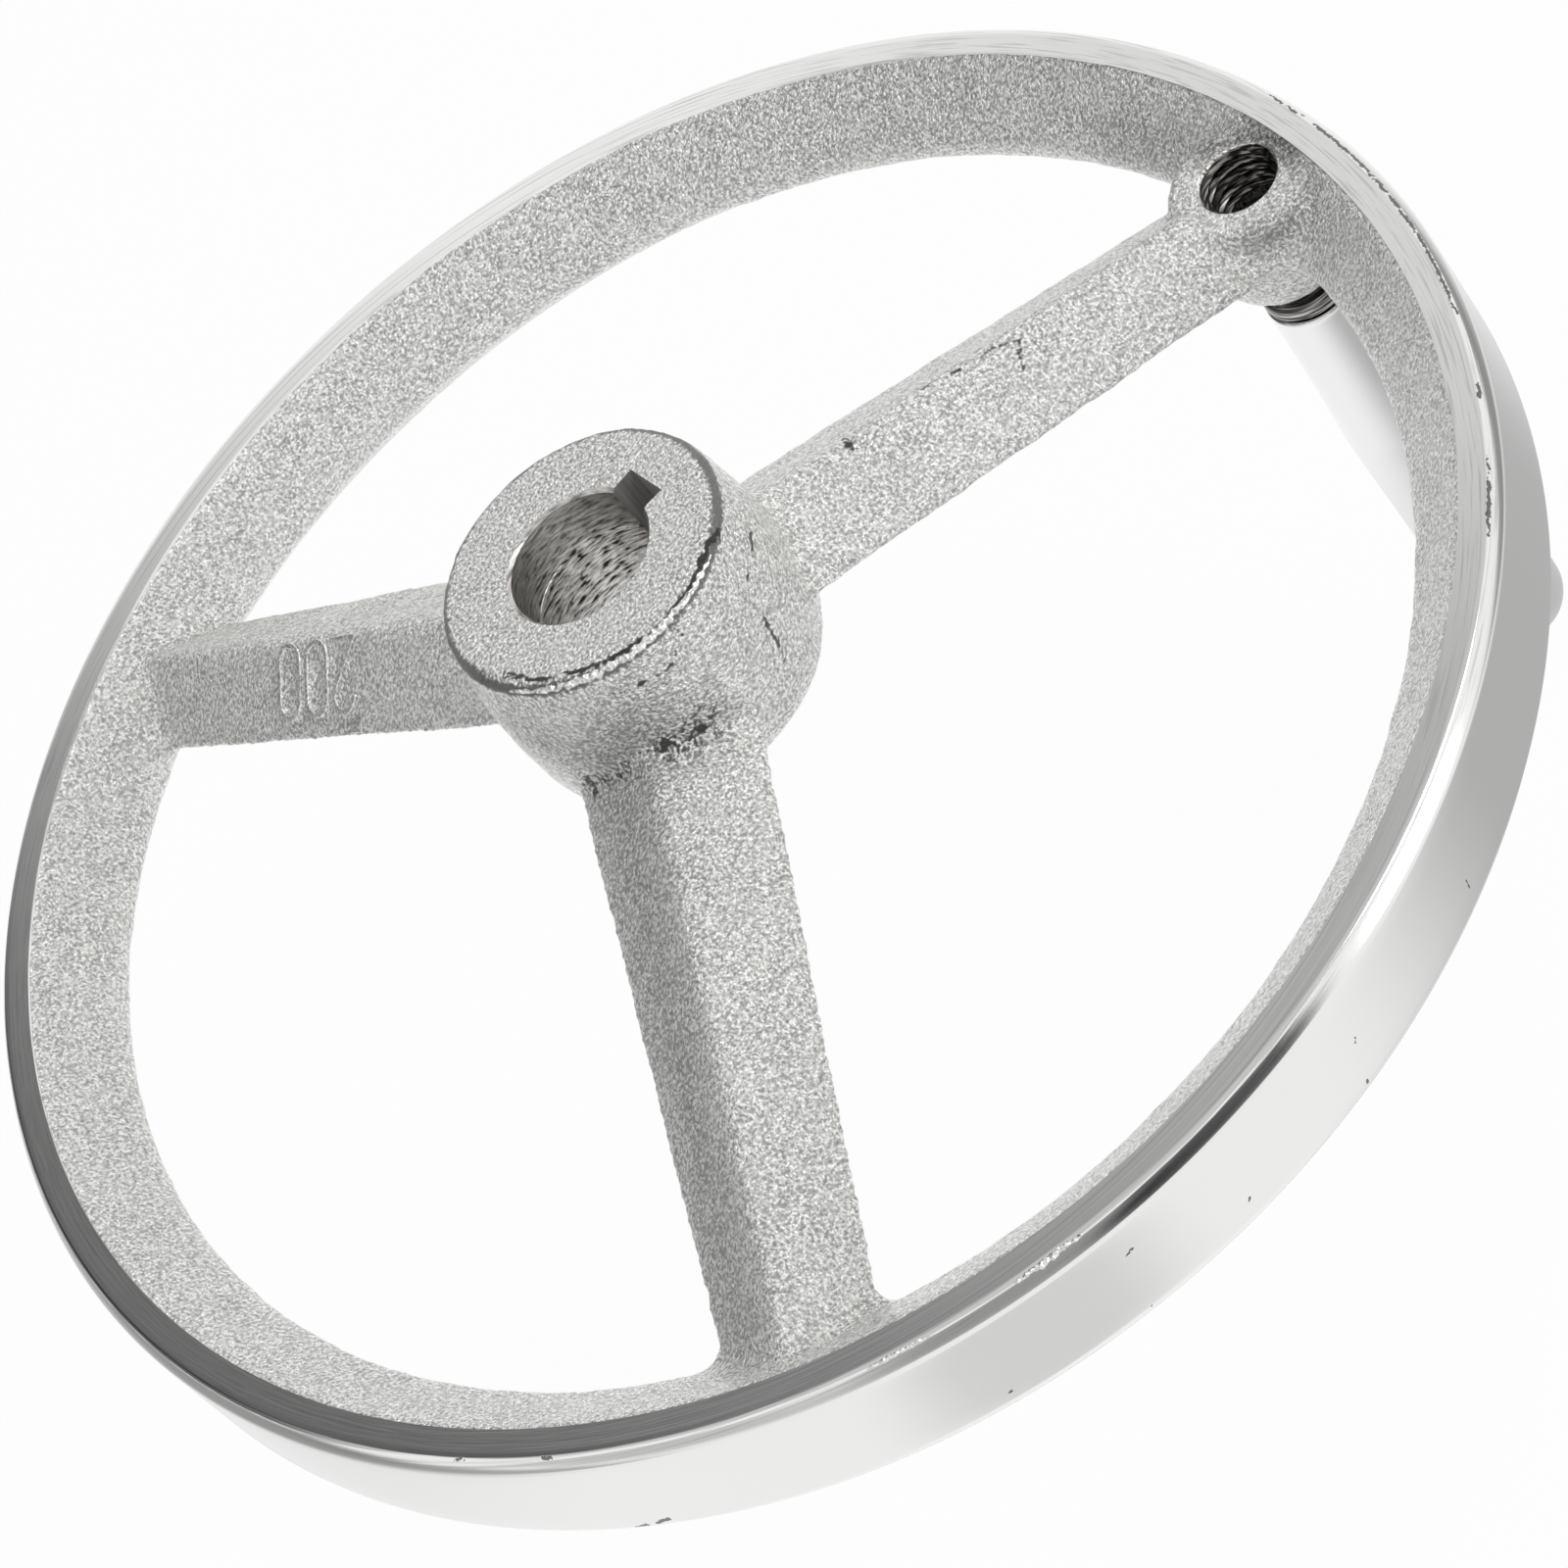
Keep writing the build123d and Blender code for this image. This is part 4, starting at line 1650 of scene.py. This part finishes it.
@dataclass
class Studio:
    """Pale floor, white surroundings, soft lamps and the camera."""

    aim: Place = (-1.03, -19.41, -30.0)
    camera_azimuth: float = -93.62
    camera_elevation: float = 45.10
    camera_distance: float = 586.5
    camera_roll: float = 41.86
    lens: float = 117.0
    floor_height: float = -127.0
    floor_size: float = 6000.0
    floor_colour: str = "#F0F0F0"
    floor_whiteness: float = 0.96
    ambient: float = 0.6
    lamp_aim: Place = (0.0, 0.0, -30.0)
    lamps: tuple[SoftBox, ...] = (
        SoftBox("side_softbox", -46.0, 3.0, 1000.0, 340.0, 1.6),
        SoftBox("overhead_softbox", -18.0, 56.0, 1200.0, 420.0, 3.5),
    )
    cards: tuple[DarkCard, ...] = (
        DarkCard("dim_ceiling", 0.0, 90.0, 34.0, 46.0, 0.35),
        DarkCard("left_high_card", 118.0, 42.0, 14.0, 26.0, 0.85),
        DarkCard("back_high_card", 84.0, 52.0, 4.0, 9.0, 0.38),
        DarkCard("back_right_card", 70.0, 45.0, 5.0, 11.0, 0.2),
        DarkCard("left_low_card", 133.0, 12.0, 22.0, 38.0, 0.85),
        DarkCard("far_left_card", -152.0, -4.0, 12.0, 26.0, 0.4),
        DarkCard("front_card", -83.0, 6.0, 12.0, 21.0, 0.92),
        DarkCard("front_left_card", -110.0, 5.0, 12.0, 30.0, 0.66),
    )
    floor_shades: tuple[FloorShade, ...] = (
        FloorShade("left_shade", -440.0, 220.0, 150.0, 420.0, 0.65),
        FloorShade("far_left_shade", -900.0, -60.0, 260.0, 480.0, 0.6),
        FloorShade("right_shade", 600.0, 0.0, 180.0, 420.0, 0.7),
        FloorShade("near_right_shade", 140.0, -60.0, 45.0, 140.0, 0.5),
        FloorShade("near_front_shade", -60.0, -165.0, 20.0, 60.0, 0.25),
    )

    @staticmethod
    def direction(azimuth: float, elevation: float) -> Vector:
        """Unit vector that points at an azimuth from +X and an elevation, in degrees."""
        turn, lift = math.radians(azimuth), math.radians(elevation)
        flat = math.cos(lift)
        return Vector((flat * math.cos(turn), flat * math.sin(turn), math.sin(lift)))

    def place_camera(self) -> None:
        """Stand the camera at its viewing angle and make it the scene's camera."""
        backward = self.direction(self.camera_azimuth, self.camera_elevation)
        level = backward.cross(Vector((0, 0, -1))).normalized()
        upright = level.cross(-backward)
        turn = math.radians(self.camera_roll)
        right = math.cos(turn) * level - math.sin(turn) * upright
        up = math.cos(turn) * upright + math.sin(turn) * level
        data = bpy.data.cameras.new("camera")
        data.lens = self.lens
        camera = bpy.data.objects.new("camera", data)
        bpy.context.scene.collection.objects.link(camera)
        place = (Vector(self.aim) + backward * self.camera_distance) * MM
        turned = Matrix((right, up, backward)).transposed().to_4x4()
        camera.matrix_world = Matrix.Translation(place) @ turned
        bpy.context.scene.camera = camera

    @staticmethod
    def by_ray(tree: Tree, seen: float, mirrored: Socket | float, other: float) -> Socket:
        """Choose a value by the kind of ray that asks for it.

        Args:
            tree: Node tree that gets the nodes.
            seen: Value for what the camera sees.
            mirrored: Value for what a mirror or a glass shows.
            other: Value for all other light.

        Returns:
            The chosen value's socket.
        """
        ray = add_node(tree, "LightPath").node.outputs
        passed_on = (ray["Is Glossy Ray"], ray["Is Transmission Ray"])
        either = add_node(tree, "Math", passed_on, operation="MAXIMUM")
        indirect = add_node(tree, "Mix", {0: either, 2: other, 3: mirrored})
        return add_node(tree, "Mix", {0: ray["Is Camera Ray"], 2: indirect, 3: seen})

    @staticmethod
    def shaded(tree: Tree, light: Socket | float, cover: Socket) -> Socket:
        """Take a dark patch's share out of what is left of the light."""
        left = add_node(tree, "Math", (1.0, cover), operation="SUBTRACT")
        return add_node(tree, "Math", (light, left), operation="MULTIPLY")

    def paint_world(self) -> None:
        """Surround the scene with white; the part's metal also mirrors the dark cards in it."""
        world = bpy.data.worlds.new("white_room")
        world.use_nodes = True
        tree = world.node_tree
        tree.nodes.clear()
        towards = add_node(tree, "TexCoord", out="Generated")
        light = 1.0
        for card in self.cards:
            middle = self.direction(card.azimuth, card.elevation)
            near = add_node(
                tree, "VectorMath", (towards, middle), out="Value", operation="DOT_PRODUCT"
            )
            edge, core = (math.cos(math.radians(angle)) for angle in (card.edge, card.core))
            inputs = (near, edge, core, 0.0, card.darkness)
            cover = add_node(tree, "MapRange", inputs, name=card.name, **SOFT_STEP)
            light = self.shaded(tree, light, cover)
        strength = self.by_ray(tree, 1.0, light, self.ambient)
        sky = add_node(tree, "Background", {"Color": linear("#FFFFFF"), "Strength": strength})
        add_node(tree, "OutputWorld", {"Surface": sky})
        bpy.context.scene.world = world

    def lay_floor(self) -> None:
        """Lay the floor, seen as nearly white from above and clear from below."""
        bm = bmesh.new()
        bmesh.ops.create_grid(bm, x_segments=1, y_segments=1, size=self.floor_size / 2 * MM)
        bmesh.ops.translate(bm, vec=(0, 0, self.floor_height * MM), verts=bm.verts)
        floor = to_object(bm, "floor")
        material, tree, where = new_material("matt_white_paper")
        light = 1.0
        for shade in self.floor_shades:
            middle = Vector((shade.x, shade.y, self.floor_height)) * MM
            away = add_node(tree, "VectorMath", (where, middle), out="Value", operation="DISTANCE")
            inputs = (away, shade.core * MM, shade.edge * MM, shade.darkness, 0.0)
            cover = add_node(tree, "MapRange", inputs, name=shade.name, **SOFT_STEP)
            light = self.shaded(tree, light, cover)
        paper = add_node(tree, "BsdfDiffuse", {"Color": linear(self.floor_colour)})
        strength = self.by_ray(tree, 1.0, light, 0.0)
        white = add_node(tree, "Emission", {"Color": linear("#FFFFFF"), "Strength": strength})
        share = self.by_ray(tree, self.floor_whiteness, 1.0, 0.0)
        lit = add_node(tree, "MixShader", (share, paper, white))
        clear = add_node(tree, "BsdfTransparent")
        below = add_node(tree, "NewGeometry", out="Backfacing")
        sided = add_node(tree, "MixShader", (below, lit, clear))
        add_node(tree, "OutputMaterial", {"Surface": sided})
        floor.data.materials.append(material)

    def hang_lamps(self) -> None:
        """Hang the soft lamps round the part, each turned towards it."""
        for lamp in self.lamps:
            data = bpy.data.lights.new(lamp.name, "AREA")
            data.shape = "DISK"
            data.size = lamp.size * MM
            data.energy = lamp.watts
            hung = bpy.data.objects.new(lamp.name, data)
            bpy.context.scene.collection.objects.link(hung)
            towards = self.direction(lamp.azimuth, lamp.elevation)
            hung.location = (Vector(self.lamp_aim) + towards * lamp.distance) * MM
            hung.rotation_euler = towards.to_track_quat("Z", "Y").to_euler()

    def build(self) -> None:
        """Set up the camera, the surroundings, the floor and the lamps."""
        self.place_camera()
        self.paint_world()
        self.lay_floor()
        self.hang_lamps()
        bpy.context.scene.view_settings.view_transform = "Standard"
        LOG.info("studio: %d lamps, %d dark cards", len(self.lamps), len(self.cards))


def main() -> None:
    """Load the frame, build every sub-assembly round it and set up the studio."""
    logging.basicConfig(level=logging.INFO, format="%(name)s %(message)s")
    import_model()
    Studio().build()
    edge = (98.95, -29.15)
    for part in (
        CastWheel(),
        RaisedNumerals(),
        EdgeBurr("hub_face_burr", 17.9, -0.35, thickness=0.45, start=-158.0, turn=105.0),
        EdgeBurr("rim_edge_burr", *edge, thickness=0.3, start=-103.6, turn=5.6, bead=0.5),
        EdgeBurr("rim_edge_burr_left", *edge, thickness=0.24, start=-114.0, turn=5.0, bead=0.5),
        RimBand(),
        BossThread(),
        HandleSpindle(),
        RetainingRing(),
        Grip(),
    ):
        piece = part.build()
        LOG.info("built %s", piece.name)


if __name__ == "__main__":
    main()
